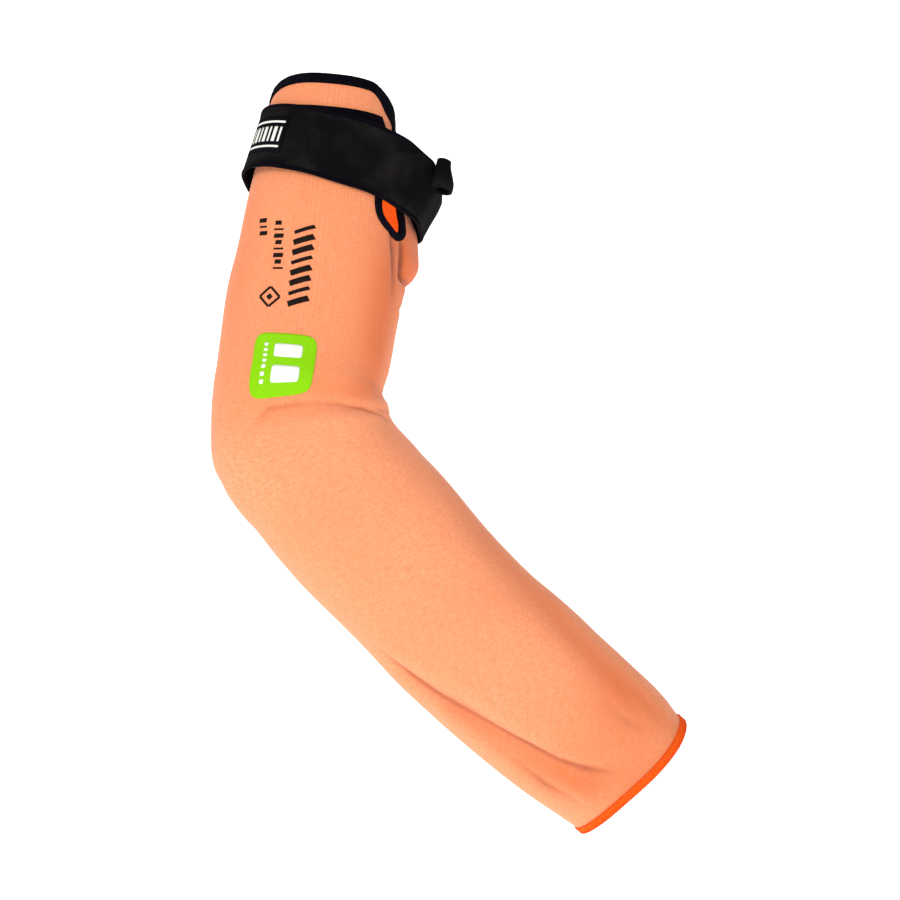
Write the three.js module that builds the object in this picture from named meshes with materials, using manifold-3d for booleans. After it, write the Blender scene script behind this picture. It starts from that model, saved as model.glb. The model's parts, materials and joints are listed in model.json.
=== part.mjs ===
// A knitted cut resistant sleeve for the whole arm, as it is worn on a bent arm.
// Millimetres, +Z up. The origin is the middle of the upper arm inside the strap.
// +X points to the inner side of the elbow, where the forearm goes, and -Y to the front.

import * as THREE from 'three';
import { mergeVertices } from 'three/addons/utils/BufferGeometryUtils.js';
import Module from 'manifold-3d';

// Lengths along the middle of the arm
const UPPER_LENGTH = 200;
const ELBOW_LENGTH = 57;
const FOREARM_LENGTH = 292;
const STRAP_BELOW_TOP = 52;

// Headings of the middle line, in degrees from straight down towards +X
const UPPER_HEADING = -5.2;
const FOREARM_HEADING = 38;
const WRIST_HEADING = 50;

// How far the upper arm leans back, in degrees
const UPPER_LEAN = 9;

// Half sizes of the sleeve's section: across the bend plane, and from front to back
const UPPER_HALF_WIDTH = 56;
const FOREARM_HALF_WIDTH = 56;
const UPPER_HALF_DEPTH = 45;
const FOREARM_HALF_DEPTH = 38;

// Cloth and tapes
const KNIT_WALL = 1.4;
const CLEARANCE = 0.3;
const TAPE_THICKNESS = 0.8;
const TAPE_CLEARANCE = 0.45;
const TOP_TAPE_WIDTH = 6.8;
const WRIST_TAPE_WIDTH = 6.5;
const SLIT_LENGTH = 99;

// Arm strap, its under band, its end tab and its label
const STRAP_WIDTH = 46.5;
const STRAP_THICKNESS = 1.6;
const STRAP_TILT = 15;
const STRAP_PITCH = 12;
const STRAP_REACH = 67.5;
const STRAP_END_AROUND = 9;
const STRAP_END_RADIUS = 4;
const STRAP_END_FLARE = 0.5;
const UNDER_BAND_WIDTH = 40;
const UNDER_BAND_THICKNESS = 1.2;
const UNDER_BAND_BELOW_TOP = 22;
const UNDER_BAND_END_ANGLE = 38;
const UNDER_BAND_CORNER = 7;
const TAB_WIDTH = 22;
const TAB_RADIUS = 5.6;
const TAB_RISE = 15;
const LABEL_WIDTH = 26;
const LABEL_LENGTH = 30;
const LABEL_THICKNESS = 0.5;

// Printed patch on the front, above the elbow
const PATCH_LENGTH = 37;
const PATCH_ANGLE = 36;
const PATCH_THICKNESS = 0.3;
const PATCH_ABOVE_ELBOW = 22;

// Facets
const SLEEVE_ROWS = 54;
const SLEEVE_COLUMNS = 36;
const STRAP_COLUMNS = 56;

const rad = THREE.MathUtils.degToRad;
const { lerp, clamp, smoothstep } = THREE.MathUtils;

// The three stretches of the arm, each with the half sizes that its sections follow
const STRETCHES = {
  upper: {
    length: UPPER_LENGTH, heading: [UPPER_HEADING, UPPER_HEADING], lean: [UPPER_LEAN, UPPER_LEAN],
    halfWidth: UPPER_HALF_WIDTH, halfDepth: UPPER_HALF_DEPTH,
  },
  elbow: {
    length: ELBOW_LENGTH, heading: [UPPER_HEADING, FOREARM_HEADING], lean: [UPPER_LEAN, 0],
    halfWidth: UPPER_HALF_WIDTH, halfDepth: UPPER_HALF_DEPTH,
  },
  forearm: {
    length: FOREARM_LENGTH, heading: [FOREARM_HEADING, WRIST_HEADING], lean: [0, 0],
    halfWidth: FOREARM_HALF_WIDTH, halfDepth: FOREARM_HALF_DEPTH,
  },
};
STRETCHES.upper.start = 0;
STRETCHES.elbow.start = UPPER_LENGTH;
STRETCHES.forearm.start = UPPER_LENGTH + ELBOW_LENGTH;
const SLEEVE_LENGTH = UPPER_LENGTH + ELBOW_LENGTH + FOREARM_LENGTH;

// Sections down the sleeve. at: share of the stretch. inner, outer: reach towards and away
// from the inside of the elbow, as shares of the half width. depth: share of the half depth.
// flap: reach of the rear flap beside the slit, as a share of inner. square: how boxy it is.
const SECTIONS = [
  { stretch: 'upper', at: 0.00, inner: 0.750, outer: 0.730, depth: 0.88, flap: 0.92, square: 2.6 },
  { stretch: 'upper', at: 0.11, inner: 0.785, outer: 0.800, depth: 0.92, flap: 0.92, square: 2.6 },
  { stretch: 'upper', at: 0.30, inner: 0.920, outer: 0.870, depth: 0.97, flap: 0.96, square: 2.5 },
  { stretch: 'upper', at: 0.40, inner: 0.980, outer: 0.920, depth: 1.00, flap: 1.00, square: 2.4 },
  { stretch: 'upper', at: 0.55, inner: 1.040, outer: 0.965, depth: 1.00, flap: 1.00, square: 2.3 },
  { stretch: 'upper', at: 0.68, inner: 1.040, outer: 1.030, depth: 1.00, flap: 1.00, square: 2.3 },
  { stretch: 'upper', at: 0.80, inner: 1.000, outer: 1.050, depth: 1.00, flap: 1.00, square: 2.3 },
  { stretch: 'upper', at: 0.93, inner: 0.960, outer: 1.055, depth: 1.02, flap: 1.00, square: 2.3 },
  { stretch: 'elbow', at: 0.00, inner: 0.915, outer: 1.060, depth: 1.03, flap: 1.00, square: 2.3 },
  { stretch: 'elbow', at: 0.30, inner: 0.925, outer: 1.110, depth: 1.03, flap: 1.00, square: 2.3 },
  { stretch: 'elbow', at: 0.60, inner: 0.955, outer: 1.220, depth: 1.02, flap: 1.00, square: 2.3 },
  { stretch: 'elbow', at: 0.85, inner: 0.935, outer: 1.195, depth: 1.00, flap: 1.00, square: 2.3 },
  { stretch: 'forearm', at: 0.02, inner: 0.890, outer: 1.150, depth: 1.16, flap: 1.00, square: 2.3 },
  { stretch: 'forearm', at: 0.10, inner: 0.910, outer: 1.160, depth: 1.12, flap: 1.00, square: 2.3 },
  { stretch: 'forearm', at: 0.20, inner: 0.940, outer: 1.140, depth: 1.08, flap: 1.00, square: 2.3 },
  { stretch: 'forearm', at: 0.35, inner: 0.920, outer: 1.080, depth: 1.00, flap: 1.00, square: 2.3 },
  { stretch: 'forearm', at: 0.50, inner: 0.930, outer: 1.080, depth: 0.95, flap: 1.00, square: 2.3 },
  { stretch: 'forearm', at: 0.62, inner: 0.980, outer: 1.040, depth: 0.90, flap: 1.00, square: 2.3 },
  { stretch: 'forearm', at: 0.75, inner: 0.985, outer: 1.000, depth: 0.83, flap: 1.00, square: 2.3 },
  { stretch: 'forearm', at: 0.85, inner: 0.985, outer: 0.950, depth: 0.79, flap: 1.00, square: 2.3 },
  { stretch: 'forearm', at: 0.93, inner: 0.960, outer: 0.900, depth: 0.76, flap: 1.00, square: 2.3 },
  { stretch: 'forearm', at: 1.00, inner: 0.885, outer: 0.850, depth: 0.74, flap: 1.00, square: 2.2 },
];

// Folds in the cloth. depth: how far the valley sinks, less than 0 for a ridge, and reach: half
// its width, both as shares of the upper half depth. line: the fold's course, a row for each
// point: the stretch, the share of it, degrees around, and the share of the fold's depth.
const FOLDS = [
  { name: 'elbow crease', depth: 0.080, reach: 0.15, line: [
    ['elbow', 0.42, 116, 0.3], ['elbow', 0.38, 94, 1.0], ['elbow', 0.45, 66, 1.0], ['elbow', 0.68, 35, 0.8],
    ['elbow', 0.80, 12, 0.5]] },
  { name: 'slack over the elbow crease', depth: -0.045, reach: 0.22, line: [
    ['elbow', 0.05, 104, 0.3], ['elbow', 0.05, 60, 1.0], ['elbow', 0.18, 34, 0.8]] },
  { name: 'rear elbow crease', depth: 0.070, reach: 0.18, line: [
    ['elbow', 0.75, 345, 0.5], ['elbow', 0.50, 310, 1.0], ['elbow', 0.40, 270, 0.2]] },
  { name: 'long crease to the wrist', depth: 0.110, reach: 0.19, line: [
    ['forearm', 0.39, 152, 0.3], ['forearm', 0.58, 133, 1.0], ['forearm', 0.73, 125, 1.0],
    ['forearm', 0.88, 112, 0.8], ['forearm', 0.94, 92, 0.2]] },
  { name: 'short crease below it', depth: 0.080, reach: 0.15, line: [
    ['forearm', 0.76, 138, 0.4], ['forearm', 0.83, 132, 1.0], ['forearm', 0.92, 131, 0.4]] },
  { name: 'hollow along the upper edge', depth: 0.090, reach: 0.28, line: [
    ['forearm', 0.33, 30, 0.4], ['forearm', 0.54, 35, 1.0], ['forearm', 0.70, 37, 1.0],
    ['forearm', 0.86, 42, 0.8], ['forearm', 0.94, 34, 0.2]] },
  { name: 'dent near the wrist', depth: 0.060, reach: 0.18, line: [
    ['forearm', 0.83, 62, 1.0], ['forearm', 0.90, 58, 0.6]] },
  { name: 'rear hollow of the forearm', depth: 0.080, reach: 0.35, line: [
    ['forearm', 0.45, 235, 0.5], ['forearm', 0.75, 245, 1.0], ['forearm', 0.90, 250, 0.2]] },
  { name: 'slack lobe beside the slit', depth: -0.170, reach: 0.40, line: [
    ['upper', 0.48, -22, 1.0], ['upper', 0.60, -16, 1.0]] },
  { name: 'fold inside the lobe', depth: 0.070, reach: 0.15, line: [
    ['upper', 0.56, 26, 0.6], ['upper', 0.66, 12, 1.0]] },
];

// The slit, from above the top edge down. at: share of its length. front, rear: its edges, in
// degrees around. The front edge rounds into the top edge, and the rear one tucks behind it.
const SLIT_EDGES = [
  { at: -0.14, front: 66, rear: -70 },
  { at: 0.01, front: 52, rear: -62 },
  { at: 0.06, front: 37, rear: -50 },
  { at: 0.09, front: 29, rear: -36 },
  { at: 0.13, front: 20, rear: -23 },
  { at: 0.21, front: 13, rear: -11 },
  { at: 0.34, front: 14, rear: -3 },
  { at: 0.52, front: 25, rear: 9 },
  { at: 0.78, front: 42, rear: 26 },
  { at: 0.90, front: 40, rear: 22 },
  { at: 1.00, front: 33, rear: 17 },
];
const SLIT_ROUND = 0.09;

// Height of the top edge below the front's, as a share of the half depth
const TOP_EDGE = [
  { around: -45, below: 0.16 },
  { around: 0, below: 0.12 },
  { around: 60, below: 0.00 },
  { around: 120, below: 0.00 },
  { around: 180, below: 0.14 },
  { around: 270, below: 0.18 },
  { around: 315, below: 0.16 },
  { around: 360, below: 0.12 },
  { around: 420, below: 0.00 },
];

// A smooth curve through a table's rows: key is the column that it runs along
function follow(rows, key, column, value) {
  const last = rows.length - 1;
  let i = 0;
  while (i < last - 1 && value > rows[i + 1][key]) {
    i += 1;
  }
  const slope = (a, b) => (rows[b][column] - rows[a][column]) / (rows[b][key] - rows[a][key]);
  const span = rows[i + 1][key] - rows[i][key];
  const t = clamp((value - rows[i][key]) / span, 0, 1);
  const startSlope = slope(Math.max(i - 1, 0), i + 1) * span;
  const endSlope = slope(i, Math.min(i + 2, last)) * span;
  const t2 = t * t;
  const t3 = t2 * t;
  return (2 * t3 - 3 * t2 + 1) * rows[i][column] + (t3 - 2 * t2 + t) * startSlope
    + (3 * t2 - 2 * t3) * rows[i + 1][column] + (t3 - t2) * endSlope;
}

// Sections and folds in millimetres, worked out from their shares
const sections = SECTIONS.map((row) => {
  const stretch = STRETCHES[row.stretch];
  return {
    along: stretch.start + row.at * stretch.length,
    inner: row.inner * stretch.halfWidth,
    outer: row.outer * stretch.halfWidth,
    depth: row.depth * stretch.halfDepth,
    flap: row.flap,
    square: row.square,
  };
});
const folds = FOLDS.map((fold) => ({
  depth: fold.depth * UPPER_HALF_DEPTH,
  reach: fold.reach * UPPER_HALF_DEPTH,
  line: fold.line.map(([name, at, around, share]) => {
    const stretch = STRETCHES[name];
    return { along: stretch.start + at * stretch.length, around, share };
  }),
}));

// The middle line: a straight upper arm, a round elbow and a slightly bowed forearm
function stretchAt(along) {
  if (along < STRETCHES.elbow.start) {
    return STRETCHES.upper;
  }
  return along < STRETCHES.forearm.start ? STRETCHES.elbow : STRETCHES.forearm;
}

// Directions at a place: down the arm, to the inside of the elbow, and to the front
function directions(along) {
  const stretch = stretchAt(along);
  const share = (along - stretch.start) / stretch.length;
  const heading = rad(lerp(stretch.heading[0], stretch.heading[1], share));
  const lean = rad(lerp(stretch.lean[0], stretch.lean[1], share));
  const inward = new THREE.Vector3(Math.cos(heading), 0, Math.sin(heading));
  const down = new THREE.Vector3(
    Math.sin(heading) * Math.cos(lean), -Math.sin(lean), -Math.cos(heading) * Math.cos(lean));
  return { down, inward, front: inward.clone().cross(down).negate() };
}

const COURSE_STEP = 1;
const course = [new THREE.Vector3()];
for (let along = 0; along < SLEEVE_LENGTH; along += COURSE_STEP) {
  const { down } = directions(along + COURSE_STEP / 2);
  course.push(course.at(-1).clone().addScaledVector(down, COURSE_STEP));
}

function fromTop(along) {
  const steps = along / COURSE_STEP;
  const i = clamp(Math.floor(steps), 0, course.length - 2);
  return course[i].clone().lerp(course[i + 1], steps - i);
}

const STRAP_MIDDLE = fromTop(STRAP_BELOW_TOP);
function middle(along) {
  return fromTop(along).sub(STRAP_MIDDLE);
}

// How far the folds push the cloth in at a place
function foldDepth(along, around) {
  let sum = 0;
  for (const fold of folds) {
    let deepest = 0;
    for (let i = 0; i + 1 < fold.line.length; i += 1) {
      const a = fold.line[i];
      const b = fold.line[i + 1];
      const turn = Math.round((around - a.around) / 360) * 360;
      const place = new THREE.Vector2(along - a.along, rad(around - turn - a.around) * UPPER_HALF_DEPTH);
      const step = new THREE.Vector2(b.along - a.along, rad(b.around - a.around) * UPPER_HALF_DEPTH);
      const share = clamp(place.dot(step) / step.lengthSq(), 0, 1);
      const distance = place.distanceTo(step.multiplyScalar(share));
      const strength = lerp(a.share, b.share, share);
      deepest = Math.max(deepest, strength * Math.exp(-((distance / fold.reach) ** 2)));
    }
    sum += fold.depth * deepest;
  }
  return sum;
}

// A point in the middle of the cloth. around: 0 towards the inner side, 90 at the front.
function clothPoint(along, around) {
  const { inward, front } = directions(along);
  const row = (column) => follow(sections, 'along', column, along);
  const c = Math.cos(rad(around));
  const s = Math.sin(rad(around));
  const toFlap = 1 - smoothstep(Math.sin(rad(around)), -0.1, 0.45);
  const reach = c < 0 ? row('outer') : row('inner') * lerp(1, row('flap'), toFlap);
  const power = 2 / row('square');
  const width = reach * Math.sign(c) * Math.abs(c) ** power;
  const depth = row('depth') * Math.sign(s) * Math.abs(s) ** power;
  const outward = inward.clone().multiplyScalar(c).addScaledVector(front, s).normalize();
  return middle(along)
    .addScaledVector(inward, width)
    .addScaledVector(front, depth)
    .addScaledVector(outward, -foldDepth(along, around));
}

// The cloth's outward direction at a place, and a point at a height over its middle
function clothNormal(along, around) {
  const down = clothPoint(Math.min(along + 1, SLEEVE_LENGTH), around)
    .sub(clothPoint(Math.min(along + 1, SLEEVE_LENGTH) - 2, around));
  const across = clothPoint(along, around + 1).sub(clothPoint(along, around - 1));
  return down.cross(across).normalize().negate();
}

function overCloth(along, around, height) {
  return clothPoint(along, around).addScaledVector(clothNormal(along, around), height);
}

// A mesh body from points and triangles, with its faces pointing out
function body(points, triangles) {
  const geometry = new THREE.BufferGeometry();
  let volume = 0;
  for (const [a, b, c] of triangles) {
    volume += points[a].dot(new THREE.Vector3().crossVectors(points[b], points[c]));
  }
  const order = volume > 0 ? triangles : triangles.map(([a, b, c]) => [a, c, b]);
  geometry.setAttribute('position', new THREE.Float32BufferAttribute(points.flatMap((p) => p.toArray()), 3));
  geometry.setIndex(order.flat());
  return geometry;
}

// A wall between two grids of points, closed round its rims. A loop's columns join up.
function wall(rows, columns, isLoop, outer, inner) {
  const points = [];
  const triangles = [];
  for (const side of [outer, inner]) {
    for (let i = 0; i <= rows; i += 1) {
      for (let j = 0; j < columns + (isLoop ? 0 : 1); j += 1) {
        points.push(side(i / rows, j / columns));
      }
    }
  }
  const wide = columns + (isLoop ? 0 : 1);
  const index = (side, i, j) => side * (rows + 1) * wide + i * wide + (j % wide);
  const face = (a, b, c, d) => triangles.push([a, b, c], [a, c, d]);
  for (let j = 0; j < columns; j += 1) {
    for (let i = 0; i < rows; i += 1) {
      face(index(0, i, j), index(0, i + 1, j), index(0, i + 1, j + 1), index(0, i, j + 1));
      face(index(1, i, j), index(1, i, j + 1), index(1, i + 1, j + 1), index(1, i + 1, j));
    }
    face(index(0, 0, j), index(0, 0, j + 1), index(1, 0, j + 1), index(1, 0, j));
    face(index(0, rows, j), index(1, rows, j), index(1, rows, j + 1), index(0, rows, j + 1));
  }
  for (let i = 0; i < rows && !isLoop; i += 1) {
    face(index(0, i, 0), index(1, i, 0), index(1, i + 1, 0), index(0, i + 1, 0));
    face(index(0, i, columns), index(0, i + 1, columns), index(1, i + 1, columns), index(1, i, columns));
  }
  return body(points, triangles);
}

// A section carried round a closed path. Each place turns a corner of the section into a point.
function loop(places, section) {
  const points = places.flatMap((place) => section.map(place));
  const triangles = [];
  const sides = section.length;
  for (let i = 0; i < places.length; i += 1) {
    const next = (i + 1) % places.length;
    for (let k = 0; k < sides; k += 1) {
      const l = (k + 1) % sides;
      triangles.push([i * sides + k, next * sides + k, next * sides + l]);
      triangles.push([i * sides + k, next * sides + l, i * sides + l]);
    }
  }
  return body(points, triangles);
}

const wasm = await Module();
wasm.setup();

function solid(geometry) {
  const merged = mergeVertices(geometry);
  return new wasm.Manifold(new wasm.Mesh({
    numProp: 3,
    vertProperties: new Float32Array(merged.attributes.position.array),
    triVerts: new Uint32Array(merged.index.array),
  }));
}

function cut(geometry, cutter) {
  const mesh = solid(geometry).subtract(solid(cutter)).getMesh();
  const result = new THREE.BufferGeometry();
  result.setAttribute('position', new THREE.BufferAttribute(new Float32Array(mesh.vertProperties), 3));
  result.setIndex(new THREE.BufferAttribute(new Uint32Array(mesh.triVerts), 1));
  return result;
}

// Where the top edge runs at an angle around
function topEdge(around) {
  return follow(TOP_EDGE, 'around', 'below', around) * UPPER_HALF_DEPTH;
}

// The slit's two edges at a share of its length, closing to a round end
function slitEdges(at) {
  const front = follow(SLIT_EDGES, 'at', 'front', at);
  const rear = follow(SLIT_EDGES, 'at', 'rear', at);
  const intoEnd = clamp((at - 1 + SLIT_ROUND) / SLIT_ROUND, 0, 1);
  const half = (front - rear) / 2 * Math.sqrt(1 - intoEnd * intoEnd);
  return { front: (front + rear) / 2 + half, rear: (front + rear) / 2 - half };
}

// Stations down the slit as shares of its length: even ones, then closer ones round its end
function slitStations() {
  const stations = [];
  const EVEN = 34;
  const ROUND = 6;
  const first = SLIT_EDGES[0].at;
  for (let i = 0; i < EVEN; i += 1) {
    stations.push(lerp(first, 1 - SLIT_ROUND, i / EVEN));
  }
  for (let i = 0; i <= ROUND; i += 1) {
    stations.push(1 - SLIT_ROUND + SLIT_ROUND * Math.sin(i / ROUND * Math.PI / 2));
  }
  return stations;
}
const stations = slitStations();

// Columns round the sleeve are closer together at the slit
function columnAngle(turn) {
  const CLOSENESS = 18;
  return turn * 360 - CLOSENESS * Math.sin(turn * 2 * Math.PI);
}

// The sleeve: a bent tube of knit with the slit cut in its top
function sleeveGeometry() {
  const side = (height) => (down, turn) => {
    const around = columnAngle(turn);
    const top = topEdge(around);
    return overCloth(top + down * (SLEEVE_LENGTH - top), around, height);
  };
  const tube = wall(SLEEVE_ROWS, SLEEVE_COLUMNS, true, side(KNIT_WALL / 2), side(-KNIT_WALL / 2));
  const through = 6 * KNIT_WALL;
  const COLUMNS = 8;
  const cutterSide = (height) => (down, turn) => {
    const at = Math.min(stations[Math.round(down * (stations.length - 1))], 1 - 1e-4);
    const edges = slitEdges(at);
    return overCloth(at * SLIT_LENGTH, lerp(edges.front, edges.rear, turn), height);
  };
  return cut(tube, wall(stations.length - 1, COLUMNS, false, cutterSide(through), cutterSide(-through)));
}

// A tape folded over an edge of the cloth: a U that is open towards the cloth
function foldedTape(width, path) {
  const low = KNIT_WALL / 2 + TAPE_CLEARANCE;
  const high = low + TAPE_THICKNESS;
  const back = -CLEARANCE - TAPE_THICKNESS;
  const end = width + back;
  const section = [
    [end, high], [back, high], [back, -high], [end, -high],
    [end, -low], [-CLEARANCE, -low], [-CLEARANCE, low], [end, low],
  ];
  const places = path.map(({ along, around }, i) => {
    const before = path[(i + path.length - 1) % path.length];
    const after = path[(i + 1) % path.length];
    const run = clothPoint(after.along, after.around).sub(clothPoint(before.along, before.around));
    const inwards = clothNormal(along, around).cross(run).normalize();
    const perAlong = clothPoint(along, around).sub(clothPoint(along - 1, around));
    const perAround = clothPoint(along, around + 1).sub(clothPoint(along, around));
    const alongShare = inwards.dot(perAlong) / perAlong.lengthSq();
    const aroundShare = inwards.dot(perAround) / perAround.lengthSq();
    return ([into, height]) => (into < 0
      ? overCloth(along, around, height).addScaledVector(inwards, into)
      : overCloth(along + into * alongShare, around + into * aroundShare, height));
  });
  return loop(places, section);
}

// The share of the slit's length at which one of its edges meets the top edge
function mouthCorner(edge) {
  let above = stations[0];
  let below = 0.5;
  for (let i = 0; i < 30; i += 1) {
    const at = (above + below) / 2;
    if (at * SLIT_LENGTH < topEdge(slitEdges(at)[edge])) {
      above = at;
    } else {
      below = at;
    }
  }
  return below;
}

// The mouth's edge, once round: along the top from the slit's front corner, down the rear edge
// of the slit and up its front edge
function mouthPath() {
  const path = [];
  const TOP_STEPS = 28;
  const frontCorner = mouthCorner('front');
  const rearCorner = mouthCorner('rear');
  const from = slitEdges(frontCorner).front;
  const to = slitEdges(rearCorner).rear + 360;
  for (let i = 0; i <= TOP_STEPS; i += 1) {
    const around = lerp(from, to, i / TOP_STEPS);
    path.push({ along: topEdge(around), around });
  }
  for (const at of stations.filter((station) => station > rearCorner + 0.01)) {
    path.push({ along: at * SLIT_LENGTH, around: slitEdges(at).rear + 360 });
  }
  for (const at of stations.filter((station) => station > frontCorner + 0.01 && station < 1).reverse()) {
    path.push({ along: at * SLIT_LENGTH, around: slitEdges(at).front + 360 });
  }
  return path;
}

function wristPath() {
  return Array.from({ length: SLEEVE_COLUMNS }, (_, i) => (
    { along: SLEEVE_LENGTH, around: -columnAngle(i / SLEEVE_COLUMNS) }));
}

// The strap's own frame: its axis leans to +X and its front is raised
const strapFrame = new THREE.Matrix4()
  .makeRotationY(rad(STRAP_TILT))
  .multiply(new THREE.Matrix4().makeRotationX(rad(-STRAP_PITCH)));
const intoStrap = strapFrame.clone().invert();

// What the strap is pulled round, seen along its axis: the arm of the sleeve and the end roll
function convexHull(points) {
  const sorted = [...points].sort((a, b) => a.x - b.x || a.y - b.y);
  const half = (list) => {
    const chain = [];
    for (const p of list) {
      while (chain.length > 1) {
        const a = chain[chain.length - 2];
        const b = chain[chain.length - 1];
        if ((b.x - a.x) * (p.y - a.y) - (b.y - a.y) * (p.x - a.x) > 0) {
          break;
        }
        chain.pop();
      }
      chain.push(p);
    }
    chain.pop();
    return chain;
  };
  return [...half(sorted), ...half(sorted.reverse())];
}

const UNDER_BAND_TOP = KNIT_WALL / 2 + TAPE_CLEARANCE + UNDER_BAND_THICKNESS;
const STRAP_INSIDE = Math.max(UNDER_BAND_TOP, KNIT_WALL / 2 + TAPE_CLEARANCE + TAPE_THICKNESS) + TAPE_CLEARANCE;

// A place in the strap's plan, at a reach from its axis towards the strap's loose end
function strapEnd(reach) {
  return new THREE.Vector2(Math.cos(rad(STRAP_END_AROUND)), -Math.sin(rad(STRAP_END_AROUND)))
    .multiplyScalar(reach);
}

function strapOutline() {
  const points = [];
  const STEP = 4;
  for (let along = STEP; along < 2 * STRAP_BELOW_TOP + STEP; along += STEP) {
    for (let around = 0; around < 360; around += 6) {
      const p = overCloth(along, around, STRAP_INSIDE).applyMatrix4(intoStrap);
      if (Math.abs(p.z) < STRAP_WIDTH / 2 + STRAP_END_FLARE) {
        points.push(new THREE.Vector2(p.x, p.y));
      }
    }
  }
  const end = strapEnd(STRAP_REACH - STRAP_END_RADIUS);
  for (let turn = 0; turn < 360; turn += 20) {
    points.push(new THREE.Vector2(Math.cos(rad(turn)), Math.sin(rad(turn)))
      .multiplyScalar(STRAP_END_RADIUS).add(end));
  }
  const hull = convexHull(points);
  const path = new THREE.CurvePath();
  hull.forEach((p, i) => path.add(new THREE.LineCurve(p, hull[(i + 1) % hull.length])));
  return path;
}
const strapPath = strapOutline();

// A point on the strap: turn from 0 to 1 round it, across from -1 to 1, height off its inside
function strapPoint(turn, across, height, width) {
  const wrapped = ((turn % 1) + 1) % 1;
  const ahead = strapPath.getPointAt((wrapped + 0.006) % 1);
  const behind = strapPath.getPointAt((wrapped + 0.994) % 1);
  const here = strapPath.getPointAt(wrapped);
  const run = ahead.sub(behind).normalize();
  const flare = STRAP_END_FLARE * smoothstep(here.x, STRAP_REACH / 2, STRAP_REACH);
  return new THREE.Vector3(here.x + run.y * height, here.y - run.x * height, across * (width / 2 + flare))
    .applyMatrix4(strapFrame);
}

// The share of the way round the strap at which it lies at an angle around
function strapTurn(around) {
  let best = 0;
  let nearest = Infinity;
  for (let i = 0; i < 720; i += 1) {
    const p = strapPath.getPointAt(i / 720);
    const gap = Math.abs(((THREE.MathUtils.radToDeg(Math.atan2(-p.y, p.x)) - around) % 360 + 540) % 360 - 180);
    if (gap < nearest) {
      nearest = gap;
      best = i / 720;
    }
  }
  return best;
}

function strapGeometry() {
  const side = (height) => (across, turn) => strapPoint(turn, 1 - 2 * across, height, STRAP_WIDTH);
  return wall(1, STRAP_COLUMNS, true, side(STRAP_THICKNESS), side(0));
}

// The sewn under band, whose cut end shows beside the slit
function underBandGeometry() {
  const TO = 150;
  const tape = THREE.MathUtils.radToDeg((TOP_TAPE_WIDTH + 3 * CLEARANCE) / UPPER_HALF_DEPTH);
  const side = (height) => (down, turn) => {
    const along = UNDER_BAND_BELOW_TOP + down * UNDER_BAND_WIDTH;
    const corner = UNDER_BAND_CORNER * Math.max(0, 1 - 4 * down);
    const end = Math.max(UNDER_BAND_END_ANGLE, slitEdges(along / SLIT_LENGTH).front + tape) + corner;
    return overCloth(along, lerp(end, TO, turn), height);
  };
  return wall(4, 12, false, side(UNDER_BAND_TOP), side(UNDER_BAND_TOP - UNDER_BAND_THICKNESS));
}

// The strap's end, turned back on itself: a small flat roll of the same band beyond the loop
function endTabGeometry() {
  const direction = strapEnd(1);
  const reach = Math.max(...strapPath.getSpacedPoints(STRAP_COLUMNS * 4).map((p) => p.dot(direction)));
  const centre = strapEnd(reach + STRAP_THICKNESS + CLEARANCE + TAB_RADIUS);
  const SIDES = 20;
  const side = (radius) => (across, turn) => {
    const a = turn * 2 * Math.PI;
    return new THREE.Vector3(
      centre.x + Math.cos(a) * radius,
      centre.y + Math.sin(a) * radius,
      TAB_RISE + (0.5 - across) * TAB_WIDTH).applyMatrix4(strapFrame);
  };
  return wall(1, SIDES, true, side(TAB_RADIUS), side(TAB_RADIUS - STRAP_THICKNESS));
}

// The woven label on the strap, at its outer side
function labelGeometry() {
  const MIDDLE = 139;
  const span = LABEL_LENGTH / strapPath.getLength();
  const centre = strapTurn(MIDDLE);
  const side = (height) => (across, along) => strapPoint(
    centre + (along - 0.5) * span, 1 - 2 * across, STRAP_THICKNESS + CLEARANCE + height, LABEL_WIDTH);
  return wall(1, 8, false, side(LABEL_THICKNESS), side(0));
}

// The printed patch: a thin rounded plate that follows the cloth
function patchGeometry() {
  const MIDDLE = 100;
  const side = (height) => (down, turn) => {
    const x = 2 * turn - 1;
    const squeeze = 1 - 0.12 * Math.abs(x) ** 6;
    return overCloth(
      UPPER_LENGTH - PATCH_ABOVE_ELBOW + (0.5 + (down - 0.5) * squeeze) * PATCH_LENGTH, MIDDLE + x * PATCH_ANGLE / 2, height);
  };
  const low = KNIT_WALL / 2 + CLEARANCE;
  return wall(6, 8, false, side(low + PATCH_THICKNESS), side(low));
}

function named(name, geometry, colour, roughness) {
  const material = new THREE.MeshStandardMaterial({ color: colour, roughness, metalness: 0 });
  const mesh = new THREE.Mesh(geometry, material);
  mesh.name = name;
  return mesh;
}

const ORANGE_KNIT = 0xfb9f6c;
const ORANGE_THREAD = 0xff6419;
const BLACK_WEBBING = 0x181412;
const NAVY_TAPE = 0x0f0a14;
const LIME_PRINT = 0x8cd700;

const group = new THREE.Group();
group.add(named('knit_sleeve', sleeveGeometry(), ORANGE_KNIT, 0.9));
group.add(named('top_binding', foldedTape(TOP_TAPE_WIDTH, mouthPath()), NAVY_TAPE, 0.75));
group.add(named('wrist_edge', foldedTape(WRIST_TAPE_WIDTH, wristPath()), ORANGE_THREAD, 0.85));
group.add(named('arm_strap', strapGeometry(), BLACK_WEBBING, 0.85));
group.add(named('under_band', underBandGeometry(), BLACK_WEBBING, 0.85));
group.add(named('strap_end_tab', endTabGeometry(), BLACK_WEBBING, 0.85));
group.add(named('strap_label', labelGeometry(), NAVY_TAPE, 0.7));
group.add(named('print_patch', patchGeometry(), LIME_PRINT, 0.6));

export default group;
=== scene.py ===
"""A knitted cut resistant sleeve, dressed over its CAD model: cloth, tapes, webbing, thread and prints."""
import json
import math

import bmesh
import bpy
import numpy as np
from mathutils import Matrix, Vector
from mathutils.geometry import convex_hull_2d

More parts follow.
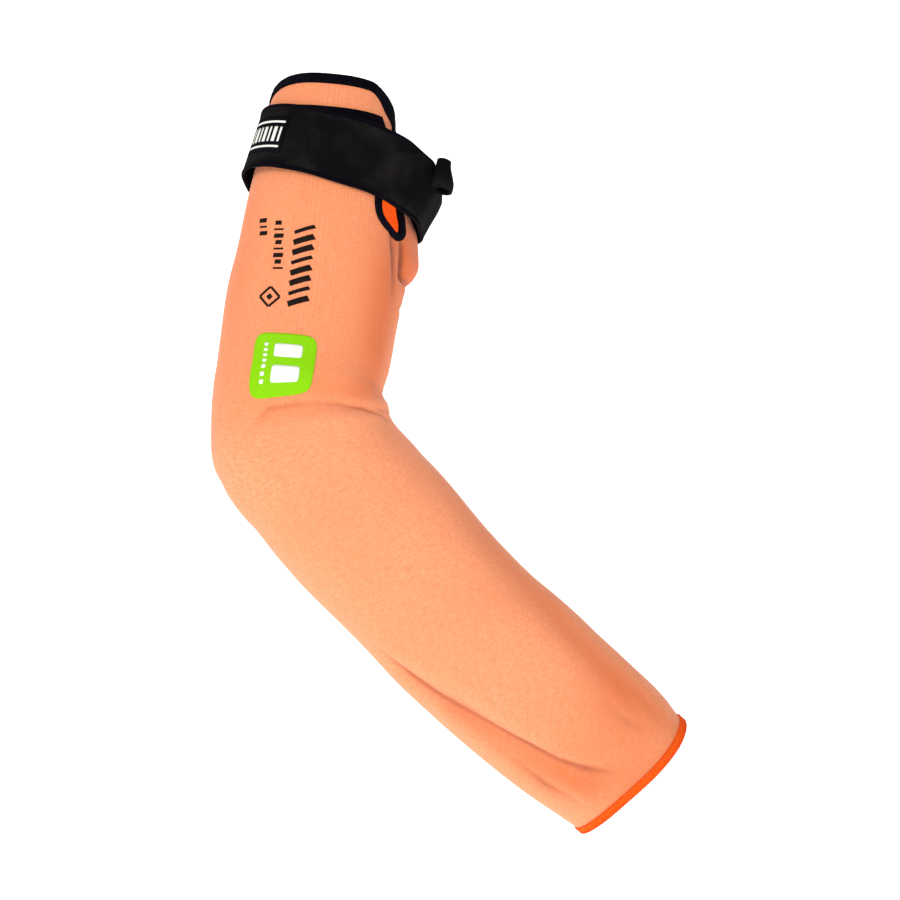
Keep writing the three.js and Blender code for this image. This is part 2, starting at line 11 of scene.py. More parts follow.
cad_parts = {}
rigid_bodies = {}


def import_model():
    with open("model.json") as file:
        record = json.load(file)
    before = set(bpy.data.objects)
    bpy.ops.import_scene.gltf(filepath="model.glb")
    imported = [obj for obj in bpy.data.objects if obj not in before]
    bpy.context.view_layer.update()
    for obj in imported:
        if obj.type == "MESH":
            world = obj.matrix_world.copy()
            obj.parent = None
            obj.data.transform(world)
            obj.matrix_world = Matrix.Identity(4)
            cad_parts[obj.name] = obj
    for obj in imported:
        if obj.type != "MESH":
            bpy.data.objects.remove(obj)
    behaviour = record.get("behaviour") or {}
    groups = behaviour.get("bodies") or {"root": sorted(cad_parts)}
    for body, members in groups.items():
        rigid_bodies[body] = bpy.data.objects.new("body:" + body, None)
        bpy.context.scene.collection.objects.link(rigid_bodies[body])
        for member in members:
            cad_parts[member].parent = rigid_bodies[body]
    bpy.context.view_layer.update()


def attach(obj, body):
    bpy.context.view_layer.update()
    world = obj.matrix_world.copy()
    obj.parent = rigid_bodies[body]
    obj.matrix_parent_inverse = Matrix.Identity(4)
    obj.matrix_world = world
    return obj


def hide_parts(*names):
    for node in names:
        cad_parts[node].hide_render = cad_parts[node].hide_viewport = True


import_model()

MM = 0.001

# Lengths along the middle of the arm, in millimetres as in the CAD
UPPER_LENGTH = 200
ELBOW_LENGTH = 57
FOREARM_LENGTH = 292
SLEEVE_LENGTH = UPPER_LENGTH + ELBOW_LENGTH + FOREARM_LENGTH
STRAP_BELOW_TOP = 52
STARTS = {"upper": 0, "elbow": UPPER_LENGTH, "forearm": UPPER_LENGTH + ELBOW_LENGTH}
LENGTHS = {"upper": UPPER_LENGTH, "elbow": ELBOW_LENGTH, "forearm": FOREARM_LENGTH}
HALF_WIDTHS = {"upper": 56, "elbow": 56, "forearm": 56}
HALF_DEPTHS = {"upper": 45, "elbow": 45, "forearm": 38}
UPPER_HALF_DEPTH = HALF_DEPTHS["upper"]

# Headings from straight down towards +X and the lean to the back, in degrees
HEADING_AT = [0, UPPER_LENGTH, UPPER_LENGTH + ELBOW_LENGTH, SLEEVE_LENGTH]
HEADINGS = [-5.2, -5.2, 38, 50]
LEANS = [9, 9, 0, 0]

KNIT_WALL = 1.4
CLEARANCE = 0.3
TAPE_THICKNESS = 0.8
TAPE_CLEARANCE = 0.45
TOP_TAPE_WIDTH = 6.8
WRIST_TAPE_WIDTH = 6.5
SLIT_LENGTH = 99
SLIT_ROUND = 0.09

STRAP_WIDTH = 46.5
STRAP_THICKNESS = 1.6
STRAP_TILT = 15
STRAP_PITCH = 12
STRAP_REACH = 67.5
STRAP_END_AROUND = 9
STRAP_END_RADIUS = 4
STRAP_END_FLARE = 0.5
UNDER_BAND_WIDTH = 40
UNDER_BAND_THICKNESS = 1.2
UNDER_BAND_BELOW_TOP = 22
UNDER_BAND_END_ANGLE = 38
UNDER_BAND_CORNER = 7
UNDER_BAND_FAR_ANGLE = 150
UNDER_BAND_RUN = 75
TAB_WIDTH = 22
TAB_RADIUS = 5.6
TAB_RISE = 15
LABEL_WIDTH = 26
LABEL_LENGTH = 30
LABEL_THICKNESS = 0.5
LABEL_AROUND = 139

PATCH_LENGTH = 37
PATCH_ANGLE = 36
PATCH_ABOVE_ELBOW = 22
PATCH_AROUND = 100


def table(columns, rows):
    """Columns of a table by name."""
    return {name: [row[i] for row in rows] for i, name in enumerate(columns.split())}


# Sections down the sleeve, as in the CAD
SECTIONS = table("stretch at inner outer depth flap square", [
    ("upper", 0.00, 0.750, 0.730, 0.88, 0.92, 2.6),
    ("upper", 0.11, 0.785, 0.800, 0.92, 0.92, 2.6),
    ("upper", 0.30, 0.920, 0.870, 0.97, 0.96, 2.5),
    ("upper", 0.40, 0.980, 0.920, 1.00, 1.00, 2.4),
    ("upper", 0.55, 1.040, 0.965, 1.00, 1.00, 2.3),
    ("upper", 0.68, 1.040, 1.030, 1.00, 1.00, 2.3),
    ("upper", 0.80, 1.000, 1.050, 1.00, 1.00, 2.3),
    ("upper", 0.93, 0.960, 1.055, 1.02, 1.00, 2.3),
    ("elbow", 0.00, 0.915, 1.060, 1.03, 1.00, 2.3),
    ("elbow", 0.30, 0.925, 1.110, 1.03, 1.00, 2.3),
    ("elbow", 0.60, 0.955, 1.220, 1.02, 1.00, 2.3),
    ("elbow", 0.85, 0.935, 1.195, 1.00, 1.00, 2.3),
    ("forearm", 0.02, 0.890, 1.150, 1.16, 1.00, 2.3),
    ("forearm", 0.10, 0.910, 1.160, 1.12, 1.00, 2.3),
    ("forearm", 0.20, 0.940, 1.140, 1.08, 1.00, 2.3),
    ("forearm", 0.35, 0.920, 1.080, 1.00, 1.00, 2.3),
    ("forearm", 0.50, 0.930, 1.080, 0.95, 1.00, 2.3),
    ("forearm", 0.62, 0.980, 1.040, 0.90, 1.00, 2.3),
    ("forearm", 0.75, 0.985, 1.000, 0.83, 1.00, 2.3),
    ("forearm", 0.85, 0.985, 0.950, 0.79, 1.00, 2.3),
    ("forearm", 0.93, 0.960, 0.900, 0.76, 1.00, 2.3),
    ("forearm", 1.00, 0.885, 0.850, 0.74, 1.00, 2.2),
])

# Folds, some a little softer or fuller than in the CAD: depth and reach as shares of the upper half
# depth, then the course of each, a row for each point: the stretch, the share of it, degrees
# around, and the share of the depth
FOLDS = [
    ("elbow crease", 0.062, 0.13, [
        ("elbow", 0.42, 116, 0.2), ("elbow", 0.38, 94, 0.7), ("elbow", 0.45, 66, 1.0),
        ("elbow", 0.68, 35, 0.8), ("elbow", 0.80, 12, 0.5)]),
    ("slack over the elbow crease", -0.045, 0.22, [
        ("elbow", 0.05, 104, 0.3), ("elbow", 0.05, 60, 1.0), ("elbow", 0.18, 34, 0.8)]),
    ("rear elbow crease", 0.070, 0.18, [
        ("elbow", 0.75, 345, 0.5), ("elbow", 0.50, 310, 1.0), ("elbow", 0.40, 270, 0.2)]),
    ("long crease to the wrist", 0.110, 0.17, [
        ("forearm", 0.39, 152, 0.3), ("forearm", 0.58, 133, 1.0), ("forearm", 0.73, 125, 1.0),
        ("forearm", 0.88, 112, 0.8), ("forearm", 0.94, 92, 0.2)]),
    ("short crease below it", 0.080, 0.15, [
        ("forearm", 0.76, 138, 0.4), ("forearm", 0.83, 132, 1.0), ("forearm", 0.92, 131, 0.4)]),
    ("hollow along the upper edge", 0.045, 0.30, [
        ("forearm", 0.33, 30, 0.4), ("forearm", 0.54, 35, 1.0), ("forearm", 0.70, 37, 1.0),
        ("forearm", 0.86, 42, 0.8), ("forearm", 0.94, 34, 0.2)]),
    ("dent near the wrist", 0.025, 0.18, [
        ("forearm", 0.83, 62, 1.0), ("forearm", 0.90, 58, 0.6)]),
    ("rear hollow of the forearm", 0.080, 0.35, [
        ("forearm", 0.45, 235, 0.5), ("forearm", 0.75, 245, 1.0), ("forearm", 0.90, 250, 0.2)]),
    ("slack lobe beside the slit", -0.230, 0.36, [
        ("upper", 0.44, -22, 1.0), ("upper", 0.54, -17, 1.0)]),
    ("fold inside the lobe", 0.070, 0.15, [
        ("upper", 0.52, 26, 0.6), ("upper", 0.61, 12, 1.0)]),
]

# The slit's edges, in degrees around, at shares of its length, a little rounder than in the CAD
SLIT_EDGES = table("at front rear", [
    (-0.14, 66, -70), (0.01, 52, -62), (0.06, 37, -50), (0.09, 29, -36), (0.13, 20, -23),
    (0.21, 13, -11), (0.34, 15, -3), (0.52, 29, 8), (0.78, 47, 23), (0.90, 47, 19), (1.00, 38, 16),
])

# Height of the top edge below the front's, as a share of the upper half depth
TOP_EDGE = table("around below", [
    (-45, 0.16), (0, 0.12), (60, 0.00), (120, 0.00), (180, 0.14), (270, 0.18), (315, 0.16),
    (360, 0.12), (420, 0.00),
])

# How far the cloth at the wrist is pulled past the middle line's end, in millimetres
WRIST_END = table("around past", [
    (0, 1.0), (45, 4.0), (75, 3.2), (105, -0.6), (145, -3.4), (180, -3.8), (270, -1.0), (360, 1.0),
])


def follow(keys, values, at):
    """A smooth curve through a table's rows."""
    keys, values, at = np.array(keys, float), np.array(values, float), np.asarray(at, float)
    last = len(keys) - 1
    i = np.clip(np.searchsorted(keys, at, side="left") - 1, 0, last - 1)

    def slope(a, b):
        return (values[b] - values[a]) / (keys[b] - keys[a])

    span = keys[i + 1] - keys[i]
    t = np.clip((at - keys[i]) / span, 0, 1)
    start = slope(np.maximum(i - 1, 0), i + 1) * span
    end = slope(i, np.minimum(i + 2, last)) * span
    t2, t3 = t * t, t * t * t
    return ((2 * t3 - 3 * t2 + 1) * values[i] + (t3 - 2 * t2 + t) * start
            + (3 * t2 - 2 * t3) * values[i + 1] + (t3 - t2) * end)


def smoothstep(x, low, high):
    t = np.clip((x - low) / (high - low), 0, 1)
    return t * t * (3 - 2 * t)


def unit(v):
    return v / np.maximum(np.linalg.norm(v, axis=-1, keepdims=True), 1e-9)


section_at = [STARTS[s] + a * LENGTHS[s] for s, a in zip(SECTIONS["stretch"], SECTIONS["at"])]
section_values = {"flap": SECTIONS["flap"], "square": SECTIONS["square"]}
for measure, halves in (("inner", HALF_WIDTHS), ("outer", HALF_WIDTHS), ("depth", HALF_DEPTHS)):
    section_values[measure] = [v * halves[s] for v, s in zip(SECTIONS[measure], SECTIONS["stretch"])]


def run_length(points):
    """The length run at each of a path's points."""
    return np.concatenate([[0], np.cumsum(np.linalg.norm(np.diff(points, axis=0), axis=1))])


def placed(folds):
    """Folds with their courses in millimetres along the arm."""
    return [(name, depth * UPPER_HALF_DEPTH, reach * UPPER_HALF_DEPTH,
             [(STARTS[s] + at * LENGTHS[s], around, share) for s, at, around, share in line])
            for name, depth, reach, line in folds]


placed_folds = placed(FOLDS)


def directions(along):
    """Down along the arm, towards its inner side and to the front, at each place."""
    heading = np.radians(np.interp(along, HEADING_AT, HEADINGS))
    lean = np.radians(np.interp(along, HEADING_AT, LEANS))
    zero = np.zeros_like(heading)
    inward = np.stack([np.cos(heading), zero, np.sin(heading)], -1)
    down = np.stack([np.sin(heading) * np.cos(lean), -np.sin(lean), -np.cos(heading) * np.cos(lean)], -1)
    return down, inward, -np.cross(inward, down)


course_steps = np.arange(0, SLEEVE_LENGTH + 2)
course = np.vstack([np.zeros(3), np.cumsum(directions(course_steps[:-1] + 0.5)[0], 0)])


def from_top(along):
    """The middle line, from its top."""
    along = np.asarray(along, float)
    inside = np.clip(along, 0, SLEEVE_LENGTH)
    place = np.stack([np.interp(inside, course_steps, course[:, k]) for k in range(3)], -1)
    return place + directions(inside)[0] * (along - inside)[..., None]


def middle(along):
    """The middle line, with the origin inside the strap."""
    return from_top(along) - from_top(STRAP_BELOW_TOP)


def fold_depth(along, around, folds):
    """How far the folds push the cloth in at each place."""
    total = np.zeros_like(along)
    for _, depth, reach, line in folds:
        deepest = np.zeros_like(along)
        for (a_along, a_around, a_share), (b_along, b_around, b_share) in zip(line, line[1:]):
            turn = np.round((around - a_around) / 360) * 360
            x = along - a_along
            y = np.radians(around - turn - a_around) * UPPER_HALF_DEPTH
            dx, dy = b_along - a_along, math.radians(b_around - a_around) * UPPER_HALF_DEPTH
            share = np.clip((x * dx + y * dy) / (dx * dx + dy * dy), 0, 1)
            distance = np.hypot(x - dx * share, y - dy * share)
            strength = a_share + (b_share - a_share) * share
            deepest = np.maximum(deepest, strength * np.exp(-(distance / reach) ** 2))
        total += depth * deepest
    return total


def cloth_point(along, around):
    """Points in the middle of the cloth: 0 around towards the inner side, 90 at the front."""
    along, around = np.broadcast_arrays(np.asarray(along, float), np.asarray(around, float))
    _, inward, front = directions(along)
    row = {name: follow(section_at, values, along) for name, values in section_values.items()}
    c, s = np.cos(np.radians(around)), np.sin(np.radians(around))
    to_flap = 1 - smoothstep(s, -0.1, 0.45)
    reach = np.where(c < 0, row["outer"], row["inner"] * (1 + (row["flap"] - 1) * to_flap))
    power = 2 / row["square"]
    width = reach * np.sign(c) * np.abs(c) ** power
    depth = row["depth"] * np.sign(s) * np.abs(s) ** power
    outward = unit(inward * c[..., None] + front * s[..., None])
    sink = fold_depth(along, around, placed_folds)
    return middle(along) + inward * width[..., None] + front * depth[..., None] - outward * sink[..., None]


def cloth_normal(along, around):
    """Straight off the cloth, outwards."""
    along, around = np.broadcast_arrays(np.asarray(along, float), np.asarray(around, float))
    below = np.minimum(along + 1, SLEEVE_LENGTH)
    down = cloth_point(below, around) - cloth_point(below - 2, around)
    across = cloth_point(along, around + 1) - cloth_point(along, around - 1)
    return -unit(np.cross(down, across))


def over_cloth(along, around, height):
    """Points at a height off the middle of the cloth."""
    height = np.asarray(height, float)
    return cloth_point(along, around) + cloth_normal(along, around) * height[..., None]


# Mesh making
def mesh_object(name, points, faces, uv=None, attributes=(), period=0.0):
    """A smooth mesh from points in millimetres. uv and attributes are values for each point. A
    closed loop of quads gives the length after which its uv starts again."""
    mesh = bpy.data.meshes.new(name)
    mesh.from_pydata((np.asarray(points, float) * MM).tolist(), [], [list(f) for f in faces])
    loops = np.zeros(len(mesh.loops), np.int32)
    mesh.loops.foreach_get("vertex_index", loops)
    if uv is not None:
        layer = mesh.uv_layers.new(name="cloth")
        places = np.array(uv, np.float32)[loops]
        if period:
            quads = places[:, 0].reshape(-1, 4)
            far = quads.max(1, keepdims=True)
            quads += np.where(quads < far - period / 2, period, 0)
        layer.data.foreach_set("uv", (places * MM).ravel())
    for label, values in attributes:
        layer = mesh.attributes.new(label, "FLOAT", "POINT")
        layer.data.foreach_set("value", np.asarray(values, np.float32))
    mesh.polygons.foreach_set("use_smooth", np.ones(len(mesh.polygons), bool))
    obj = bpy.data.objects.new(name, mesh)
    bpy.context.scene.collection.objects.link(obj)
    return obj


def grid_faces(rows, columns, wrap_rows=False, wrap_columns=False):
    """Faces of a grid of points with that many rows and columns."""
    across = np.arange(columns - (not wrap_columns))
    i, j = (v.ravel() for v in np.meshgrid(np.arange(rows - (not wrap_rows)), across, indexing="ij"))
    ni, nj = (i + 1) % rows, (j + 1) % columns
    return np.stack([i * columns + j, ni * columns + j, ni * columns + nj, i * columns + nj], -1)


def plate_faces(rows, columns):
    """Faces of a thin plate: a grid of points for its top, one for its underside, and its rim."""
    count = rows * columns
    top = grid_faces(rows, columns)
    rim = ([i * columns for i in range(rows)] + [(rows - 1) * columns + j for j in range(1, columns)]
           + [i * columns + columns - 1 for i in range(rows - 2, -1, -1)]
           + list(range(columns - 2, 0, -1)))
    walls = [[a, b, b + count, a + count] for a, b in zip(rim, rim[1:] + rim[:1])]
    return top.tolist() + (top[:, ::-1] + count).tolist() + walls


def face_out(obj):
    """Turns the mesh's faces outwards."""
    bm = bmesh.new()
    bm.from_mesh(obj.data)
    bmesh.ops.recalc_face_normals(bm, faces=bm.faces)
    bm.to_mesh(obj.data)
    bm.free()


def apply_modifiers(obj):
    """The object's mesh as its modifiers leave it, without the modifiers."""
    graph = bpy.context.evaluated_depsgraph_get()
    mesh = bpy.data.meshes.new_from_object(obj.evaluated_get(graph))
    obj.modifiers.clear()
    obj.data = mesh
    obj.data.name = obj.name
    return obj


def thicken(obj, thickness, inner_slot):
    """Gives the cloth its wall, half to each side, with the inside in the material at inner_slot."""
    modifier = obj.modifiers.new("thickness", "SOLIDIFY")
    modifier.thickness = thickness * MM
    modifier.offset = 0
    modifier.use_even_offset = False
    modifier.material_offset = inner_slot
    modifier.material_offset_rim = 0
    return apply_modifiers(obj)


def dressed(obj, material, slot, replaced=()):
    """A closed piece with its faces out and in its material, riding with the root body, with the CAD nodes it
    stands for hidden.
    """
    face_out(obj)
    obj.data.materials.append(material)
    return finish_piece(obj, slot, replaced)


def finish_piece(obj, slot, replaced=()):
    """Makes the piece ride with the root body and hides the CAD nodes that it stands for. slot is not used.
    """
    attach(obj, "root")
    if replaced:
        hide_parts(*replaced)
    return obj


# Materials
def srgb(red, green, blue):
    """A linear colour from one in 0 to 255."""
    def linear(v):
        v = v / 255
        return v / 12.92 if v <= 0.04045 else ((v + 0.055) / 1.055) ** 2.4
    return (linear(red), linear(green), linear(blue), 1.0)


class Shader:
    """A material's node tree, with short calls for its nodes."""

    def __init__(self, name, roughness, specular=0.25, sheen=0.0):
        self.material = bpy.data.materials.new(name)
        self.material.use_nodes = True
        self.tree = self.material.node_tree
        self.surface = self.tree.nodes["Principled BSDF"]
        self.surface.inputs["Roughness"].default_value = roughness
        self.surface.inputs["Specular IOR Level"].default_value = specular
        if sheen:
            self.surface.inputs["Sheen Weight"].default_value = sheen
            self.surface.inputs["Sheen Roughness"].default_value = 0.6

    def node(self, kind, **settings):
        made = self.tree.nodes.new(kind)
        for name, value in settings.items():
            setattr(made, name, value)
        return made

    def put(self, socket, value):
        if isinstance(value, bpy.types.NodeSocket):
            self.tree.links.new(value, socket)
        else:
            socket.default_value = value

    def math(self, operation, *values):
        made = self.node("ShaderNodeMath", operation=operation)
        for socket, value in zip(made.inputs, values):
            self.put(socket, value)
        return made.outputs[0]

    def mix(self, share, a, b):
        made = self.node("ShaderNodeMix", data_type="RGBA")
        self.put(made.inputs[0], share)
        self.put(made.inputs[6], a)
        self.put(made.inputs[7], b)
        return made.outputs[2]

    def ramp(self, value, low, high):
        """0 below low and 1 above high."""
        made = self.node("ShaderNodeMapRange", interpolation_type="SMOOTHSTEP")
        self.put(made.inputs[0], value)
        made.inputs[1].default_value = low
        made.inputs[2].default_value = high
        return made.outputs[0]

    def uv(self):
        return self.node("ShaderNodeUVMap", uv_map="cloth").outputs[0]

    def split(self, vector):
        made = self.node("ShaderNodeSeparateXYZ")
        self.put(made.inputs[0], vector)
        return made.outputs

    def scaled(self, vector, x, y, z=1.0):
        made = self.node("ShaderNodeVectorMath", operation="MULTIPLY")
        self.put(made.inputs[0], vector)
        made.inputs[1].default_value = (x, y, z)
        return made.outputs[0]

    def noise(self, vector, scale, detail=2.0, roughness=0.5):
        made = self.node("ShaderNodeTexNoise")
        self.put(made.inputs["Vector"], vector)
        made.inputs["Scale"].default_value = scale
        made.inputs["Detail"].default_value = detail
        made.inputs["Roughness"].default_value = roughness
        return made.outputs["Fac"]

    def attribute(self, name):
        return self.node("ShaderNodeAttribute", attribute_name=name).outputs["Fac"]

    def objects(self):
        return self.node("ShaderNodeTexCoord").outputs["Object"]

    def finish(self, colour, height=None, distance=0.0003, strength=1.0):
        self.put(self.surface.inputs["Base Color"], colour)
        if height is not None:
            bump = self.node("ShaderNodeBump")
            bump.inputs["Distance"].default_value = distance
            bump.inputs["Strength"].default_value = strength
            self.put(bump.inputs["Height"], height)
            self.put(self.surface.inputs["Normal"], bump.outputs[0])
        return self.material


def knit_material(name, light, deep, crease, fleck, painted_shade, painted_bounce_glow=0.0):
    """Heathered knit: wales down the arm, courses round it, two tones of yarn, painted shade in folds, crease
    lines, rib valleys and where the cloth turns away, and an optional glow as painted bounce light.
    """
    s = Shader(name, roughness=0.9, specular=0.12, sheen=0.15)
    uv = s.uv()
    u, v, _ = s.split(uv)
    wale = s.math("MULTIPLY", u, 2 * math.pi / (WALE_PITCH * MM))
    lean = s.math("MULTIPLY", s.math("ABSOLUTE", s.math("SINE", s.math("MULTIPLY", wale, 0.5))), 1.6)
    loop = s.math("SINE", s.math("ADD", s.math("MULTIPLY", v, 2 * math.pi / (COURSE_PITCH * MM)), lean))
    rib = s.math("MULTIPLY", s.math("COSINE", wale), s.math("MULTIPLY_ADD", s.attribute("rib"), 0.8, 0.35))
    yarn = s.noise(s.scaled(uv, 700, 1500), 1.0, 3.0, 0.6)
    height = s.math("ADD", s.math("MULTIPLY_ADD", loop, 0.025, s.math("MULTIPLY", rib, 0.15)),
                    s.math("MULTIPLY", yarn, 0.9))
    streak = s.noise(s.scaled(uv, 330, 1050), 1.0, 4.0, 0.7)
    broad = s.noise(s.scaled(uv, 16, 11), 1.0, 3.0)
    colour = s.mix(s.ramp(streak, 0.30, 0.72), light, deep)
    colour = s.mix(s.math("MULTIPLY", s.ramp(broad, 0.40, 0.70), 0.30), colour, deep)
    heather = s.noise(s.scaled(uv, 190, 230), 1.0, 4.0, 0.7)
    colour = s.mix(s.math("MULTIPLY", s.ramp(heather, 0.48, 0.66), 0.40), colour, deep)
    colour = s.mix(s.math("MULTIPLY", s.ramp(yarn, 0.60, 0.75), 0.22), colour, fleck)
    # Painted shade in the rib valleys, in the crease colour
    rib_valley_shade = s.math("MULTIPLY", s.math("MULTIPLY_ADD", rib, -0.10, 0.05), s.attribute("rib"))
    colour = s.mix(s.math("MAXIMUM", rib_valley_shade, 0.0), colour, crease)
    colour = s.mix(s.math("MULTIPLY", s.attribute("rib"), 0.30), colour, deep)
    # Painted shade where the cloth turns away from the light or folds in
    colour = s.mix(s.math("MULTIPLY", s.attribute("painted_shade"), 0.8), colour, painted_shade)
    # Painted shade: folds and crease lines take the crease colour
    colour = s.mix(s.ramp(s.attribute("crease"), 0.05, 1.0), colour, crease)
    # Painted bounce light: the cloth glows in its own colour
    if painted_bounce_glow:
        s.put(s.surface.inputs["Emission Color"], colour)
        s.surface.inputs["Emission Strength"].default_value = painted_bounce_glow
    return s.finish(colour, height, 0.0003, 0.7)


def webbing_material(name, dark, lint, pitch, strength):
    """Woven or brushed band: a fine weave, with lint in patches."""
    s = Shader(name, roughness=0.95, specular=0.05)
    uv = s.uv()
    u, v, _ = s.split(uv)
    over = s.math("SINE", s.math("MULTIPLY", u, 2 * math.pi / (pitch * MM)))
    under = s.math("SINE", s.math("MULTIPLY", v, 2 * math.pi / (pitch * MM)))
    fuzz = s.noise(s.scaled(uv, 900, 900), 1.0, 4.0, 0.7)
    patches = s.noise(s.scaled(uv, 26, 38), 1.0, 3.0, 0.6)
    share = s.math("MULTIPLY", s.ramp(patches, 0.42, 0.72), s.math("MULTIPLY_ADD", fuzz, 0.8, 0.1))
    height = s.math("ADD", s.math("MULTIPLY", s.math("MULTIPLY", over, under), 0.5), fuzz)
    return s.finish(s.mix(share, dark, lint), height, 0.0004, strength)


def plain_material(name, colour, other, roughness, scale=900.0, strength=0.4):
    """One colour with a fine uneven surface, for thread and ink."""
    s = Shader(name, roughness=roughness, specular=0.1)
    grain = s.noise(s.objects(), scale, 2.0)
    return s.finish(s.mix(s.ramp(grain, 0.35, 0.65), colour, other), grain, 0.0002, strength)


WALE_PITCH = 1.9
COURSE_PITCH = 1.5
# Yarn light and deep, then painted shade for folds, crease lines and rib valleys, pale fleck, and painted
# shade where the cloth turns away
KNIT = knit_material("orange_knit", srgb(253, 170, 129), srgb(246, 142, 90), srgb(172, 90, 60),
                     srgb(255, 194, 160), srgb(226, 108, 52))
# The inside: the knit with painted bounce light, more saturated and glowing, with painted shade in its folds
KNIT_INSIDE_PAINTED_BOUNCE = knit_material("orange_knit_inside_painted_bounce", srgb(252, 156, 66), srgb(244, 132, 42), srgb(200, 90, 30),
                            srgb(253, 176, 96), srgb(240, 124, 48), painted_bounce_glow=0.26)
STRAP_CLOTH = webbing_material("black_brushed_band", srgb(15, 13, 15), srgb(46, 42, 42), 0.9, 0.7)
TAPE_CLOTH = webbing_material("navy_tape", srgb(8, 6, 14), srgb(20, 18, 32), 0.8, 0.6)
LABEL_CLOTH = webbing_material("label_weave", srgb(12, 12, 16), srgb(26, 26, 32), 0.5, 0.4)
DARK_THREAD = plain_material("navy_thread", srgb(20, 20, 34), srgb(34, 34, 52), 0.7)
ORANGE_THREAD = plain_material("orange_thread", srgb(255, 100, 22), srgb(238, 84, 14), 0.75)
BLACK_INK = plain_material("black_ink", srgb(20, 14, 12), srgb(36, 26, 22), 0.8, 2600.0, 0.5)
LIME_INK = plain_material("lime_ink", srgb(142, 216, 0), srgb(132, 206, 4), 0.55, 1800.0, 0.25)
WHITE_INK = plain_material("white_ink", srgb(250, 250, 244), srgb(236, 238, 226), 0.6, 1800.0, 0.25)


# The sleeve
FINE_FOLDS = [
    ("sharp line of the elbow crease", 0.032, 0.050, [
        ("elbow", 0.46, 116, 0.3), ("elbow", 0.35, 105, 0.9), ("elbow", 0.35, 93, 0.8),
        ("elbow", 0.38, 79, 0.6), ("elbow", 0.44, 64, 0.7), ("elbow", 0.63, 42, 1.0),
        ("elbow", 0.79, 32, 1.0), ("forearm", 0.01, 17, 0.8)]),
    ("sharp line of the long crease", 0.042, 0.060, [
        ("forearm", 0.38, 149, 0.2), ("forearm", 0.47, 145, 1.0), ("forearm", 0.55, 139, 0.9),
        ("forearm", 0.62, 132, 0.7), ("forearm", 0.69, 124, 0.8), ("forearm", 0.76, 117, 1.0),
        ("forearm", 0.83, 111, 0.9), ("forearm", 0.89, 102, 1.0), ("forearm", 0.95, 89, 0.2)]),
    ("ridge under the long crease", -0.035, 0.09, [
        ("forearm", 0.46, 153, 0.4), ("forearm", 0.60, 143, 1.0), ("forearm", 0.72, 129, 0.8),
        ("forearm", 0.86, 116, 0.5)]),
    ("sharp line of the short crease", 0.032, 0.060, [
        ("forearm", 0.74, 137, 0.3), ("forearm", 0.85, 137, 1.0), ("forearm", 0.94, 127, 0.3)]),
    ("dent beside the upper edge", 0.022, 0.06, [
        ("forearm", 0.84, 62, 0.2), ("forearm", 0.89, 62, 0.8), ("forearm", 0.93, 58, 0.2)]),
    ("crease from the slit's end", 0.075, 0.060, [
        ("upper", 0.49, 19, 0.4), ("upper", 0.53, 15, 1.0), ("upper", 0.58, 12, 1.0),
        ("upper", 0.63, 8, 0.4)]),
    ("facet under the slit", 0.030, 0.14, [
        ("upper", 0.54, 30, 1.0), ("upper", 0.62, 28, 0.9), ("upper", 0.74, 22, 0.4)]),
    ("notch under the lobe", 0.045, 0.07, [
        ("upper", 0.62, 14, 0.6), ("upper", 0.625, -2, 1.0), ("upper", 0.62, -24, 0.7)]),
    ("second notch", 0.030, 0.06, [
        ("upper", 0.71, 10, 0.6), ("upper", 0.72, -8, 1.0), ("upper", 0.71, -24, 0.4)]),
    ("drag from the upper edge", 0.016, 0.08, [
        ("forearm", 0.82, 42, 0.2), ("forearm", 0.88, 50, 0.5), ("forearm", 0.95, 60, 0.2)]),
    ("drag beside it", 0.012, 0.08, [
        ("forearm", 0.84, 30, 0.2), ("forearm", 0.92, 38, 0.6), ("forearm", 0.97, 44, 0.2)]),
    ("pucker under the slit", 0.030, 0.05, [
        ("upper", 0.50, 34, 1.0), ("upper", 0.58, 30, 0.9), ("upper", 0.70, 26, 0.3)]),
    ("inner elbow pinch", 0.035, 0.05, [
        ("upper", 0.92, 8, 0.4), ("elbow", 0.10, 2, 0.6), ("elbow", 0.30, -8, 0.4)]),
    ("rear elbow pinch", 0.030, 0.06, [
        ("elbow", 0.20, 330, 0.8), ("elbow", 0.30, 300, 1.0), ("elbow", 0.30, 262, 0.3)]),
    ("bend over the elbow point", 0.020, 0.07, [
        ("elbow", 0.75, 200, 0.4), ("elbow", 0.70, 176, 1.0), ("elbow", 0.65, 150, 0.4)]),
    ("pull from the strap", 0.016, 0.06, [
        ("upper", 0.50, 120, 0.4), ("upper", 0.66, 112, 0.8), ("upper", 0.80, 124, 0.2)]),
]
placed_fine_folds = placed(FINE_FOLDS)

